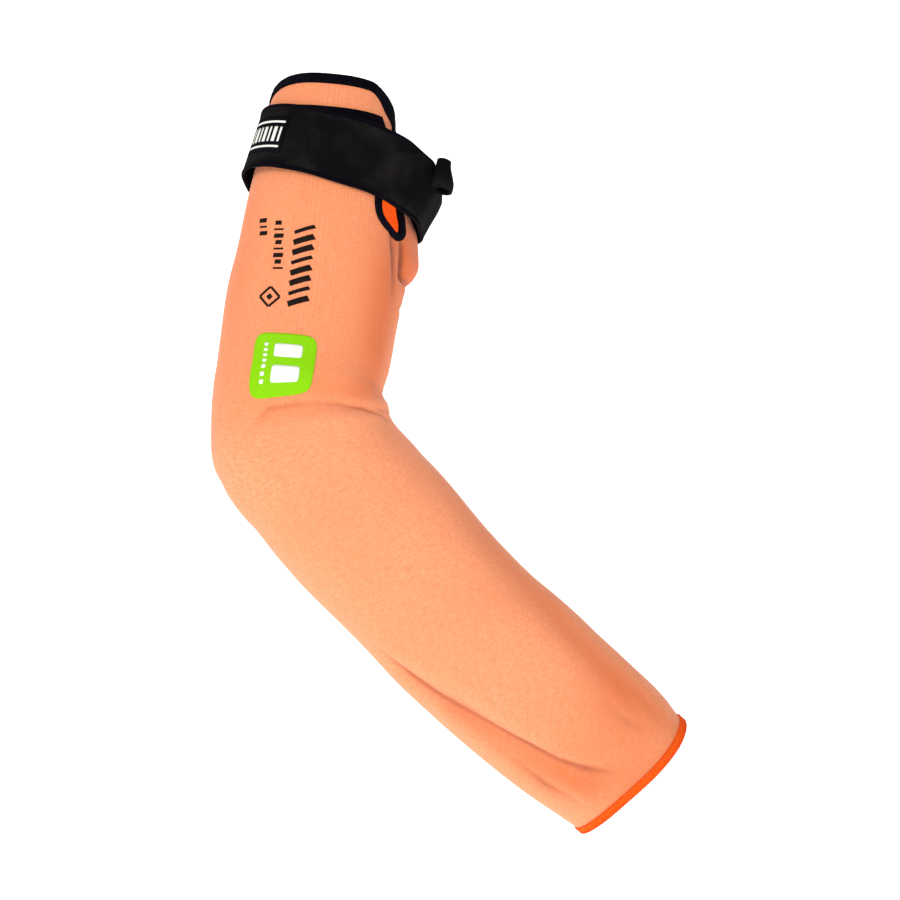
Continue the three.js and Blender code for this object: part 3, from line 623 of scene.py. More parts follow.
# Painted shade where the cloth turns away from the light or folds in, deepening its colour: strength, reach
# and course
PAINTED_SHADES = [
    ("inner side of the upper arm", 0.90, 0.36, [
        ("upper", 0.46, 30, 0.6), ("upper", 0.64, 36, 1.0), ("upper", 0.90, 34, 1.0),
        ("elbow", 0.20, 30, 0.7)]),
    ("lobe beside the slit", 1.30, 0.36, [
        ("upper", 0.42, -8, 1.0), ("upper", 0.52, -4, 1.0), ("upper", 0.62, -8, 0.8),
        ("upper", 0.74, -8, 0.5)]),
    ("band along the upper edge", 0.62, 0.28, [
        ("forearm", 0.20, 22, 0.4), ("forearm", 0.49, 27, 0.8), ("forearm", 0.65, 36, 1.0),
        ("forearm", 0.82, 41, 1.0), ("forearm", 0.97, 36, 0.6)]),
    ("near the wrist", 0.50, 0.60, [
        ("forearm", 0.84, 60, 0.7), ("forearm", 0.98, 90, 1.0), ("forearm", 0.88, 110, 0.7)]),
    ("under the long crease", 0.60, 0.20, [
        ("forearm", 0.60, 141, 0.6), ("forearm", 0.78, 128, 1.0), ("forearm", 0.92, 112, 0.6)]),
    ("outer edge of the upper arm", 0.35, 0.30, [
        ("upper", 0.44, 150, 1.0), ("upper", 0.75, 146, 0.7), ("upper", 0.95, 150, 0.4)]),
    ("over the elbow crease", 0.40, 0.22, [
        ("elbow", 0.28, 50, 1.0), ("elbow", 0.16, 84, 0.7), ("elbow", 0.20, 108, 0.2)]),
]
placed_painted_shades = placed([(name, strength / UPPER_HALF_DEPTH, reach, line)
                        for name, strength, reach, line in PAINTED_SHADES])

# How far the small waves stand up, and how much painted shade, in the crease colour, a fold and a crease line
# take
WAVE_HEIGHT = 0.45
WAVE_SEED = 4
WAVE_COUNT = 7
WAVE_PITCHES = (16, 60)
FOLD_SHADE = 0.04
LINE_SHADE = 0.35
# The cloth is cut this much past the slit's edge: millimetres along, degrees around
CUT_PAST = (1.6, 2.0)
ROWS = 300
COLUMNS = 152


def top_edge(around):
    """How far down the top edge lies, for each angle around."""
    return follow(TOP_EDGE["around"], TOP_EDGE["below"], around) * UPPER_HALF_DEPTH


def wrist_end(around):
    """How far down the cloth ends at the wrist, for each angle around."""
    return SLEEVE_LENGTH + follow(WRIST_END["around"], WRIST_END["past"], np.asarray(around) % 360)


def slit_edges(at):
    """The slit's front and rear edges, in degrees around, at shares of its length."""
    front = follow(SLIT_EDGES["at"], SLIT_EDGES["front"], at)
    rear = follow(SLIT_EDGES["at"], SLIT_EDGES["rear"], at)
    into_end = np.clip((np.asarray(at) - 1 + SLIT_ROUND) / SLIT_ROUND, 0, 1)
    half = (front - rear) / 2 * np.sqrt(1 - into_end ** 2)
    return (front + rear) / 2 + half, (front + rear) / 2 - half


def in_slit(along, around):
    """Whether a place on the cloth lies in the slit."""
    at = along / SLIT_LENGTH
    front, rear = slit_edges(at)
    wrapped = (around + 180) % 360 - 180
    return (at > SLIT_EDGES["at"][0]) & (at < 1) & (wrapped < front) & (wrapped > rear)


def column_angle(turn):
    """Degrees around for each column, with the columns closest on the side that faces the camera."""
    return turn * 360 - 26 * (np.sin((turn - 0.3) * 2 * np.pi) + np.sin(0.3 * 2 * np.pi))


def soft_noise(x, y, seed):
    """Small uneven waves from a few sines."""
    rng = np.random.default_rng(seed)
    total = np.zeros_like(x)
    for _ in range(WAVE_COUNT):
        angle, pitch = rng.uniform(0, 2 * np.pi), rng.uniform(*WAVE_PITCHES)
        total += np.sin((x * np.cos(angle) + y * np.sin(angle)) / pitch * 2 * np.pi + rng.uniform(0, 6.28))
    return total / WAVE_COUNT


def cloth_waves(along, around):
    """The small waves and crease lines of the dressed cloth, outwards."""
    waves = soft_noise(along, np.radians(around) * UPPER_HALF_DEPTH, WAVE_SEED)
    return WAVE_HEIGHT * waves - fold_depth(along, around, placed_fine_folds)


def make_sleeve():
    """The knit as one sheet, cut open at the slit and given its wall."""
    down, turn = np.meshgrid(np.linspace(0, 1, ROWS), np.arange(COLUMNS) / COLUMNS, indexing="ij")
    around = column_angle(turn)
    top = top_edge(around)
    along = top + down * (wrist_end(around) - top)
    edge = smoothstep(along, 10, 40) * (1 - smoothstep(along, SLEEVE_LENGTH - 24, SLEEVE_LENGTH - 8))
    points = over_cloth(along, around, cloth_waves(along, around) * edge)
    # Painted shade in the folds and crease lines
    crease_shade = (np.maximum(fold_depth(along, around, placed_folds), 0) * FOLD_SHADE
               + fold_depth(along, around, placed_fine_folds) * LINE_SHADE)
    # Painted shade where the cloth turns away from the light or folds in
    painted_shade = np.clip(fold_depth(along, around, placed_painted_shades), 0, 1)
    ribs = 1 - smoothstep(along, UPPER_LENGTH + 14, UPPER_LENGTH + 34)
    uv = np.stack([np.radians(around) * UPPER_HALF_DEPTH, along], -1)
    obj = mesh_object(
        "knit_sleeve_cloth", points.reshape(-1, 3), grid_faces(ROWS, COLUMNS, wrap_columns=True),
        uv.reshape(-1, 2), [("crease", crease_shade.ravel()), ("rib", ribs.ravel()), ("painted_shade", painted_shade.ravel())],
        period=2 * np.pi * UPPER_HALF_DEPTH)
    face_out(obj)
    # Cut the slit, a little wide, so that its cells end inside the binding
    centre_along = (along[:-1] + along[1:]) / 2
    centre_around = column_angle(turn[:-1] + 0.5 / COLUMNS)
    gone = np.zeros(centre_along.shape, bool)
    for step in (-1, 0, 1):
        for side in (-1, 0, 1):
            gone |= in_slit(centre_along + step * CUT_PAST[0], centre_around + side * CUT_PAST[1])
    bm = bmesh.new()
    bm.from_mesh(obj.data)
    bm.faces.ensure_lookup_table()
    doomed = [bm.faces[i] for i in np.flatnonzero(gone.ravel())]
    bmesh.ops.delete(bm, geom=doomed, context="FACES")
    bm.to_mesh(obj.data)
    bm.free()
    obj.data.materials.append(KNIT)
    # The inside takes the knit with painted bounce light
    obj.data.materials.append(KNIT_INSIDE_PAINTED_BOUNCE)
    thicken(obj, KNIT_WALL, inner_slot=1)
    finish_piece(obj, "knit_sleeve", ["knit_sleeve"])


make_sleeve()


# Tapes folded over the cloth's edges, pressed into the knit and fuller than in the CAD, round a line
# a little inside the edge
TAPE_PRESSED = 0.35
TAPE_FULLER = 0.25
EDGE_INSIDE = 0.2


def tape_section(width):
    """Corners of a U that is open towards the cloth: how far in from the edge, and the height."""
    low = KNIT_WALL / 2 + TAPE_CLEARANCE - TAPE_PRESSED
    high = low + TAPE_THICKNESS + TAPE_FULLER
    turns = np.radians(np.linspace(90, 270, 9))
    outside = [(EDGE_INSIDE + math.cos(t) * high, math.sin(t) * high) for t in turns]
    inside = [(EDGE_INSIDE + math.cos(t) * low, math.sin(t) * low) for t in turns[::-1]]
    end = width - 1
    return ([(end, high * 0.8), (end - 0.5, high)] + outside + [(end - 0.5, -high), (end, -high * 0.8)]
            + [(end, -low)] + inside + [(end, low)])


def into_cloth(along, around):
    """From a closed edge into the cloth: the direction, and what a millimetre is along and around."""
    before = cloth_point(np.roll(along, 1), np.roll(around, 1))
    after = cloth_point(np.roll(along, -1), np.roll(around, -1))
    inwards = unit(np.cross(cloth_normal(along, around), after - before))
    here = cloth_point(along, around)
    steps = here - cloth_point(along - 1, around), cloth_point(along, around + 1) - here
    return inwards, *((inwards * step).sum(-1) / (step ** 2).sum(-1) for step in steps)


def folded_tape(name, width, along, around, material, slot, node, wider=1.0, bulge=1.0):
    """A tape over a closed edge. wider scales how far it reaches in, and bulge how far it stands out."""
    section = tape_section(width)
    inwards, along_share, around_share = into_cloth(along, around)
    run = run_length(cloth_point(along, around))
    rows, uv = [], []
    for k, (into, height) in enumerate(section):
        ripple = height * (1 + 0.05 * np.sin(run * 0.9 + k)) * (bulge if abs(height) > 1.3 else 1)
        inner = max(into, 0) * wider
        rows.append(over_cloth(along + inner * along_share, around + inner * around_share, ripple)
                    + inwards * min(into, 0) * bulge)
        uv.append(np.stack([run, np.full_like(run, 2.0 * k)], -1))
    points = np.stack(rows, 1).reshape(-1, 3)
    faces = grid_faces(len(along), len(section), True, True)
    return dressed(mesh_object(name, points, faces, np.stack(uv, 1).reshape(-1, 2)), material, slot, [node])


def mouth_corner(edge):
    """Where the slit's front or rear edge meets the top edge, as a share of its length."""
    above, below = SLIT_EDGES["at"][0], 0.5
    for _ in range(30):
        at = (above + below) / 2
        if at * SLIT_LENGTH < top_edge(slit_edges(at)[edge]):
            above = at
        else:
            below = at
    return below


def smooth_path(along, around, passes):
    """The closed path with its corners eased."""
    for _ in range(passes):
        along = 0.5 * along + 0.25 * (np.roll(along, 1) + np.roll(along, -1))
        turned = np.roll(around, 1), np.roll(around, -1)
        turned[0][0] -= 360
        turned[1][-1] += 360
        around = 0.5 * around + 0.25 * (turned[0] + turned[1])
    return along, around


def even_path(along, around, step):
    """The closed path on the cloth, in steps of even length."""
    along = np.append(along, along[0])
    around = np.append(around, around[0] + 360 * round((around[-1] - around[0]) / 360))
    run = run_length(cloth_point(along, around))
    at = np.linspace(0, run[-1], int(run[-1] / step), endpoint=False)
    return np.interp(at, run, along), np.interp(at, run, around)


def mouth_path():
    """The mouth's edge: along the top, down the slit's rear edge and up its front edge."""
    front_corner, rear_corner = mouth_corner(0), mouth_corner(1)
    turns = np.linspace(slit_edges(front_corner)[0], slit_edges(rear_corner)[1] + 360, 160)
    quarter = np.sin(np.linspace(0, np.pi / 2, 24))
    rear_at = np.concatenate([np.linspace(rear_corner + 0.01, 1 - SLIT_ROUND, 60),
                              1 - SLIT_ROUND * (1 - quarter[1:])])
    front_at = np.concatenate([np.linspace(front_corner + 0.01, 1 - SLIT_ROUND, 60),
                               1 - SLIT_ROUND * (1 - quarter[1:])])[::-1][1:]
    along = np.concatenate([top_edge(turns), rear_at * SLIT_LENGTH, front_at * SLIT_LENGTH])
    around = np.concatenate([turns, slit_edges(rear_at)[1] + 360, slit_edges(front_at)[0] + 360])
    return along, around


mouth_along, mouth_around = mouth_path()
mouth_along, mouth_around = even_path(mouth_along, mouth_around, 1.5)
mouth_along, mouth_around = smooth_path(mouth_along, mouth_around, 4)
# The tape lies wider down the front of the slit's top and narrower round the slit's end
mouth_wrapped = (mouth_around + 180) % 360 - 180
tape_share = (1 + 0.80 * smoothstep(mouth_wrapped, 58, 44) * smoothstep(mouth_wrapped, 4, 14)
              * smoothstep(mouth_along, 2, 10) * smoothstep(mouth_along, 72, 50)
              - 0.30 * smoothstep(mouth_along, 66, 86))
folded_tape("top_binding_tape", TOP_TAPE_WIDTH, mouth_along, mouth_around, TAPE_CLOTH,
            "top_binding", "top_binding", wider=tape_share, bulge=1.1)


# What repeats is set out by Geometry Nodes: threads on points, each turned to lie on the cloth
def thread_nodes():
    """The tree that lays a bead on every point, and its inputs by name."""
    tree = bpy.data.node_groups.new("threads", "GeometryNodeTree")
    sockets = {}
    for name, kind, direction in (
            ("Points", "NodeSocketGeometry", "INPUT"), ("Length", "NodeSocketFloat", "INPUT"),
            ("Width", "NodeSocketFloat", "INPUT"), ("Height", "NodeSocketFloat", "INPUT"),
            ("Material", "NodeSocketMaterial", "INPUT"), ("Threads", "NodeSocketGeometry", "OUTPUT")):
        sockets[name] = tree.interface.new_socket(name, in_out=direction, socket_type=kind).identifier
    node, link = tree.nodes.new, tree.links.new
    given, result = node("NodeGroupInput"), node("NodeGroupOutput")
    bead = node("GeometryNodeMeshUVSphere")
    bead.inputs["Segments"].default_value = 7
    bead.inputs["Rings"].default_value = 6
    bead.inputs["Radius"].default_value = 0.5
    size = node("ShaderNodeCombineXYZ")
    turn = node("GeometryNodeInputNamedAttribute")
    turn.data_type = "FLOAT_VECTOR"
    turn.inputs["Name"].default_value = "turn"
    place = node("GeometryNodeInstanceOnPoints")
    real = node("GeometryNodeRealizeInstances")
    paint = node("GeometryNodeSetMaterial")
    link(given.outputs["Points"], place.inputs["Points"])
    link(bead.outputs["Mesh"], place.inputs["Instance"])
    link(turn.outputs["Attribute"], place.inputs["Rotation"])
    for k, name in enumerate(("Length", "Width", "Height")):
        link(given.outputs[name], size.inputs[k])
    link(size.outputs[0], place.inputs["Scale"])
    link(place.outputs[0], real.inputs[0])
    link(real.outputs[0], paint.inputs["Geometry"])
    link(given.outputs["Material"], paint.inputs["Material"])
    link(paint.outputs[0], result.inputs["Threads"])
    return tree, sockets


THREADS, THREAD_SOCKETS = thread_nodes()


def threads(name, places, along, up, length, width, height, material, slot):
    """Thread beads at places, lying along one direction and standing up in the other."""
    obj = mesh_object(name, places, [])
    forward = unit(along)
    rise = unit(up - forward * (up * forward).sum(-1, keepdims=True))
    side = np.cross(rise, forward)
    yaw = np.arctan2(forward[:, 1], forward[:, 0])
    pitch = -np.arcsin(np.clip(forward[:, 2], -1, 1))
    roll = np.arctan2(side[:, 2], rise[:, 2])
    turn = obj.data.attributes.new("turn", "FLOAT_VECTOR", "POINT")
    turn.data.foreach_set("vector", np.stack([roll, pitch, yaw], -1).astype(np.float32).ravel())
    modifier = obj.modifiers.new("threads", "NODES")
    modifier.node_group = THREADS
    for label, value in (("Length", length * MM), ("Width", width * MM), ("Height", height * MM),
                         ("Material", material)):
        modifier[THREAD_SOCKETS[label]] = value
    apply_modifiers(obj)
    obj.data.polygons.foreach_set("use_smooth", np.ones(len(obj.data.polygons), bool))
    return finish_piece(obj, slot)


# Stitches: pitch, and a stitch's length, width and height
STITCH_PITCH = 2.6
STITCH_BEAD = (1.9, 0.55, 0.35)
STITCH_INSET = 1.2
STITCH_SUNK = 0.1


def stitch_row(name, along, around, height, material, slot):
    """A row of stitches on the cloth, along a path of places."""
    run = run_length(over_cloth(along, around, height))
    at = np.arange(STITCH_PITCH / 2, run[-1], STITCH_PITCH)
    here, ahead = ((np.interp(place, run, along), np.interp(place, run, around)) for place in (at, at + 0.5))
    start = over_cloth(*here, height)
    return threads(name, start, over_cloth(*ahead, height) - start, cloth_normal(*here), *STITCH_BEAD,
                   material, slot)


def offset_path(along, around, into):
    """The path moved into the cloth, away from its edge."""
    _, along_share, around_share = into_cloth(along, around)
    return along + into * along_share, around + into * around_share


TAPE_TOP = KNIT_WALL / 2 + TAPE_CLEARANCE + TAPE_THICKNESS
stitch_path = offset_path(mouth_along, mouth_around, (TOP_TAPE_WIDTH - 1) * tape_share - STITCH_INSET)
stitch_row("binding_stitches", *stitch_path, TAPE_TOP - STITCH_SUNK, DARK_THREAD, "top_binding")

# The wrist edge: a thick wrap of thread over the edge, with each pass of the thread showing
wrist_turns = -column_angle(np.arange(220) / 220)
wrist_along = wrist_end(wrist_turns)
folded_tape("wrist_edge_wrap", WRIST_TAPE_WIDTH, wrist_along, wrist_turns, ORANGE_THREAD,
            "wrist_edge", "wrist_edge", wider=0.72, bulge=1.15)

WRAP_TOP = TAPE_TOP * 0.97
WRAP_INTO = 2.4
WRAP_PASSES = 260
WRAP_BEADS = 9
WRAP_SLANT = 0.35
WRAP_BEAD = (2.8, 1.2, 0.5)


def wrist_threads():
    """Passes of thread over the wrist's edge, a row of beads for each, from outside to inside."""
    share = np.arange(WRAP_BEADS)[:, None] / (WRAP_BEADS - 1)
    lift = np.radians(90 + 180 * share)
    turns = -column_angle((np.arange(WRAP_PASSES) + WRAP_SLANT * share) / WRAP_PASSES)
    into = np.where(share % 1 == 0, WRAP_INTO, EDGE_INSIDE + np.cos(lift) * WRAP_TOP)
    down = directions(np.array([float(SLEEVE_LENGTH)]))[0]
    points = (over_cloth(wrist_end(turns) - np.maximum(into, 0), turns, WRAP_TOP * np.sin(lift))
              - down * np.minimum(into, 0)[..., None])
    ahead = np.empty_like(points)
    ahead[:-1] = points[1:] - points[:-1]
    ahead[-1] = -down
    ahead[0] = down
    up = points - cloth_point(SLEEVE_LENGTH - 1, turns)
    return threads("wrist_edge_threads", *(v.reshape(-1, 3) for v in (points, ahead, up)), *WRAP_BEAD,
                   ORANGE_THREAD, "wrist_edge")


wrist_threads()


# The strap
def rotation_y(degrees):
    c, s = math.cos(math.radians(degrees)), math.sin(math.radians(degrees))
    return np.array([[c, 0, s], [0, 1, 0], [-s, 0, c]])


def rotation_x(degrees):
    c, s = math.cos(math.radians(degrees)), math.sin(math.radians(degrees))
    return np.array([[1, 0, 0], [0, c, -s], [0, s, c]])


strap_frame = rotation_y(STRAP_TILT) @ rotation_x(-STRAP_PITCH)
UNDER_BAND_TOP = KNIT_WALL / 2 + TAPE_CLEARANCE + UNDER_BAND_THICKNESS
STRAP_INSIDE = max(UNDER_BAND_TOP, TAPE_TOP) + TAPE_CLEARANCE


def strap_end(reach):
    """This far out on the strap's loose side, seen along its axis."""
    turn = math.radians(STRAP_END_AROUND)
    return np.array([math.cos(turn), -math.sin(turn)]) * reach


def strap_outline():
    """What the strap is pulled round, seen along its axis, in even steps."""
    along, around = np.meshgrid(np.arange(4, 2 * STRAP_BELOW_TOP + 4, 4), np.arange(0, 360, 4), indexing="ij")
    points = over_cloth(along, around, np.full(along.shape, STRAP_INSIDE)).reshape(-1, 3) @ strap_frame
    near = points[np.abs(points[:, 2]) < STRAP_WIDTH / 2 + STRAP_END_FLARE, :2]
    turns = np.radians(np.arange(0, 360, 10))
    roll = np.stack([np.cos(turns), np.sin(turns)], -1) * STRAP_END_RADIUS
    roll += strap_end(STRAP_REACH - STRAP_END_RADIUS)
    every = np.vstack([near, roll])
    hull = every[convex_hull_2d([Vector(p) for p in every])]
    closed = np.vstack([hull, hull[:1]])
    if ((closed[:-1, 0] * closed[1:, 1]) - (closed[1:, 0] * closed[:-1, 1])).sum() < 0:
        closed = closed[::-1]
    run = run_length(closed)
    at = np.linspace(0, run[-1], STRAP_STEPS, endpoint=False)
    path = np.stack([np.interp(at, run, closed[:, k]) for k in range(2)], -1)
    for _ in range(14):
        path = 0.5 * path + 0.25 * (np.roll(path, 1, 0) + np.roll(path, -1, 0))
    return path, run[-1]


STRAP_STEPS = 420
# How far the strap's end is pulled out, from its lower edge to its upper
STRAP_END_PULL = table("across pull", [(-1, 0), (-0.5, 2.4), (0.0, 5.2), (0.25, 6.2), (0.6, 4.2), (1.0, 0)])
strap_path, STRAP_LOOP = strap_outline()
strap_run = unit(np.roll(strap_path, -1, 0) - np.roll(strap_path, 1, 0))


def strap_point(turn, across, height):
    """A point on the strap: turn from 0 to 1 round it, across from -1 to 1, height off its inside."""
    turn, across, height = np.broadcast_arrays(*(np.asarray(v, float) for v in (turn, across, height)))
    step = (turn % 1) * STRAP_STEPS
    low = np.floor(step).astype(int) % STRAP_STEPS
    share = (step - np.floor(step))[..., None]
    here = strap_path[low] * (1 - share) + strap_path[(low + 1) % STRAP_STEPS] * share
    run = unit(strap_run[low] * (1 - share) + strap_run[(low + 1) % STRAP_STEPS] * share)
    flare = STRAP_END_FLARE * smoothstep(here[..., 0], STRAP_REACH / 2, STRAP_REACH)
    pull = (smoothstep(here[..., 0], STRAP_REACH - 24, STRAP_REACH)
            * np.interp(across, STRAP_END_PULL["across"], STRAP_END_PULL["pull"]))
    local = np.stack([here[..., 0] + run[..., 1] * height + pull, here[..., 1] - run[..., 0] * height,
                      across * (STRAP_WIDTH / 2 + flare)], -1)
    return local @ strap_frame.T


def strap_wave(turn, y):
    """How far the webbing waves out: whole waves round the loop."""
    angle = 2 * np.pi * np.asarray(turn)
    return 0.5 + 0.33 * np.sin(3 * angle + 1) * np.sin(y / 13) + 0.18 * np.sin(7 * angle + y / 11)


def strap_edge(turn):
    """How much wider the webbing is at its uneven edges, as a share."""
    angle = 2 * np.pi * np.asarray(turn)
    return 1 + (0.35 * np.sin(4 * angle) + 0.2 * np.sin(9 * angle)) / STRAP_WIDTH * 2


def strap_turn(around):
    """The turn of the strap that lies at an angle around."""
    angle = np.degrees(np.arctan2(-strap_path[:, 1], strap_path[:, 0]))
    return np.argmin(np.abs((angle - around + 180) % 360 - 180)) / STRAP_STEPS


def band_loop(name, rows, turns, place, uv_scale, material, slot, nodes, closed):
    """A band from a flattened section: place(turn, section angle) gives its points."""
    angle = np.linspace(0, 2 * np.pi, rows, endpoint=False)
    grid_turn, grid_angle = np.meshgrid(turns, angle, indexing="ij")
    points = place(grid_turn, grid_angle)
    # A closed band's uv starts again at the back
    start = 0.5 * closed
    uv = np.stack([(grid_turn + start) % (1 + (not closed)) * uv_scale[0],
                   np.sign(np.sin(grid_angle)) * np.cos(grid_angle) * uv_scale[1]], -1)
    faces = grid_faces(len(turns), rows, closed, True).tolist()
    if not closed:
        last = (len(turns) - 1) * rows
        faces += [list(range(rows)), [last + k for k in range(rows)][::-1]]
    obj = mesh_object(name, points.reshape(-1, 3), faces, uv.reshape(-1, 2), period=uv_scale[0] * closed)
    return dressed(obj, material, slot, nodes)


def flat_section(angle, thickness, edge=0.06):
    """Across from -1 to 1 and height from 0 to the thickness, for a band with soft edges."""
    across = np.sign(np.cos(angle)) * np.abs(np.cos(angle)) ** 0.55
    rise = np.clip(np.abs(np.sin(angle)) / edge, 0, 1) ** 0.5 * np.sign(np.sin(angle))
    return across, (rise + 1) / 2 * thickness


def strap_place(turn, angle):
    across, height = flat_section(angle, STRAP_THICKNESS, 0.25)
    wave = strap_wave(turn, across * STRAP_WIDTH / 2)
    return strap_point(turn, across * strap_edge(turn), height + wave)


strap_turns = np.arange(STRAP_STEPS) / STRAP_STEPS
band_loop("arm_strap_band", 64, strap_turns, strap_place, (STRAP_LOOP, STRAP_WIDTH / 2), STRAP_CLOTH,
          "arm_strap", ["arm_strap"], True)


HEM_INSET = 1.6
HEM_HALF_WIDTH = 1.5
HEM_HALF_HEIGHT = 1.25


def strap_hem(name, side):
    """A narrow turned edge along the strap."""
    def place(turn, angle):
        inset = 1 - HEM_INSET / (STRAP_WIDTH / 2)
        across = side * (inset + np.cos(angle) * HEM_HALF_WIDTH / (STRAP_WIDTH / 2)) * strap_edge(turn)
        wave = strap_wave(turn, across * STRAP_WIDTH / 2)
        return strap_point(turn, across, STRAP_THICKNESS / 2 + wave + np.sin(angle) * HEM_HALF_HEIGHT)

    return band_loop(name, 12, strap_turns, place, (STRAP_LOOP, HEM_HALF_WIDTH), TAPE_CLOTH, "arm_strap", [],
                     True)


strap_hem("arm_strap_top_hem", 1)
strap_hem("arm_strap_lower_hem", -1)


# The under band, whose cut corner shows beside the slit
def under_band_place(turn, angle):
    across, height = flat_section(angle, UNDER_BAND_THICKNESS, 0.12)
    down = (1 - across) / 2
    along = UNDER_BAND_BELOW_TOP + down * UNDER_BAND_WIDTH
    tape = math.degrees((TOP_TAPE_WIDTH + 3 * CLEARANCE) / UPPER_HALF_DEPTH)
    corner = UNDER_BAND_CORNER * np.maximum(0, 1 - 4 * down)
    end = np.maximum(UNDER_BAND_END_ANGLE, slit_edges(along / SLIT_LENGTH)[0] + tape) + corner
    around = end + (UNDER_BAND_FAR_ANGLE - end) * turn
    return over_cloth(along, around, UNDER_BAND_TOP - UNDER_BAND_THICKNESS + height)


band_loop("under_band_cloth", 48, np.linspace(0, 1, 90), under_band_place,
          (UNDER_BAND_RUN, UNDER_BAND_WIDTH / 2), TAPE_CLOTH, "under_band", ["under_band"], False)

# The strap's end, rolled back on itself
TAB_CENTRE = strap_end(STRAP_REACH + STRAP_THICKNESS + CLEARANCE + TAB_RADIUS)


def tab_place(turn, angle):
    across, height = flat_section(angle, 2.3, 0.25)
    around = turn * 2.5 * np.pi - 1.15 * np.pi
    # The roll is tight at its top and opens to its lower end
    lower = smoothstep(-across, -1.0, 0.7)
    radius = (TAB_RADIUS - 1.2 + height - 1.1 * turn) * (0.78 + 0.46 * lower)
    local = np.stack([TAB_CENTRE[0] + 1.2 + 3.2 * lower + np.cos(around) * radius,
                      TAB_CENTRE[1] + np.sin(around) * radius,
                      TAB_RISE - 0.5 + across * TAB_WIDTH / 2 * 0.98], -1)
    return local @ strap_frame.T


band_loop("strap_end_roll", 40, np.linspace(0, 1, 70), tab_place, (35, TAB_WIDTH / 2), STRAP_CLOTH,
          "strap_end_tab", ["strap_end_tab"], False)


# The label: a woven panel with plain pale lines and bars
def strap_patch(name, turn, across, half_length, half_width, height, thickness, material, nodes=()):
    """A thin plate on the strap. Sizes in millimetres, across from its middle line."""
    steps = max(6, int(half_length * 2))
    u, v = np.meshgrid(np.linspace(-1, 1, steps), np.linspace(-1, 1, 8), indexing="ij")
    layers = []
    for lift in (height + thickness, height):
        x = turn * STRAP_LOOP + u * half_length
        y = across + v * half_width
        layers.append(strap_point(x / STRAP_LOOP, y / (STRAP_WIDTH / 2),
                                  STRAP_THICKNESS + strap_wave(x / STRAP_LOOP, y) + lift))
    points = np.concatenate([layer.reshape(-1, 3) for layer in layers])
    uv = np.tile(np.stack([u * half_length, v * half_width], -1).reshape(-1, 2), (2, 1))
    return dressed(mesh_object(name, points, plate_faces(steps, 8), uv), material, "strap_label", nodes)


LABEL_TURN = strap_turn(LABEL_AROUND)
LABEL_LIFT = 0.3
LABEL_MARK_LIFT = LABEL_LIFT + LABEL_THICKNESS
LABEL_MARK_THICKNESS = 0.12
strap_patch("label_panel", LABEL_TURN, 0, LABEL_LENGTH / 2, LABEL_WIDTH / 2, LABEL_LIFT, LABEL_THICKNESS,
            LABEL_CLOTH, ["strap_label"])
# Plain lines and blocks: name, along the label, across it, half length, half width
LABEL_MARKS = [
    ("label_line_top", 0, 9.0, 13.0, 0.75),
    ("label_line_low", 0, -9.0, 13.0, 0.75),
] + [(f"label_bar_{k}", -11.4 + 3.8 * k, 0, 1.25 if k % 2 else 0.7, 5.4) for k in range(7)]
for mark, mark_along, mark_across, half_length, half_width in LABEL_MARKS:
    strap_patch(mark, LABEL_TURN + mark_along / STRAP_LOOP, mark_across, half_length, half_width,
                LABEL_MARK_LIFT, LABEL_MARK_THICKNESS, WHITE_INK)


# Prints on the cloth: thin plates that follow it
def cloth_height(along, around):
    """How far the dressed cloth's outside stands off the middle of the plain cloth."""
    return KNIT_WALL / 2 + cloth_waves(along, around)


def degree_length(along, around):
    """How many millimetres one degree around is at a place."""
    return float(np.linalg.norm(cloth_point(along, around + 0.5) - cloth_point(along, around - 0.5)))


def cloth_plates(name, plates, material, lift, nodes=()):
    """Plates, a row for each: along, around, half length down the arm, half width, turn, roundness."""
    points, faces, uv = [], [], []
    count = 0
    for along, around, half_length, half_width, turn, roundness in plates:
        per_degree = degree_length(along, around)
        rows, columns = max(4, int(half_length * 2)), max(4, int(half_width * 2))
        v, u = np.meshgrid(np.linspace(-1, 1, rows), np.linspace(-1, 1, columns), indexing="ij")
        # Draws the plate's corners in, which rounds them
        x = u * half_width * (1 - roundness * np.abs(v) ** 6)
        y = v * half_length * (1 - roundness * np.abs(u) ** 6)
        c, s = math.cos(math.radians(turn)), math.sin(math.radians(turn))
        place_along = along + c * y + s * x
        place_around = around + (c * x - s * y) / per_degree
        ground = cloth_height(place_along, place_around)
        for height in (lift, lift - PRINT_THICKNESS):
            points.append(over_cloth(place_along, place_around, ground + height).reshape(-1, 3))
            uv.append(np.stack([x, y], -1).reshape(-1, 2))
        faces += [[count + k for k in face] for face in plate_faces(rows, columns)]
        count += 2 * rows * columns
    return dressed(mesh_object(name, np.concatenate(points), faces, np.concatenate(uv)), material,
                   "print_patch", nodes)


PRINT_THICKNESS = 0.12
PRINT_LIFT = 0.3
# The bars stand over the patch, and corners are drawn in by these shares
BAR_LIFT = 0.15
PATCH_ROUND = 0.12
BAR_ROUND = 0.06

# In place of the photo's large print, a column of slanted stripes
STRIPE_COUNT = 8
COLUMN_TOP = (108.0, 95.5)
COLUMN_FOOT = (156.0, 94.5)
stripe_places = np.linspace(COLUMN_TOP, COLUMN_FOOT, STRIPE_COUNT).tolist()
STRIPE_HALF_WIDTH = 6.6
STRIPE_SLANT = 22
marks = [(along, around, 1.9 if k % 3 else 1.2, STRIPE_HALF_WIDTH, STRIPE_SLANT, 0.0)
         for k, (along, around) in enumerate(stripe_places)]
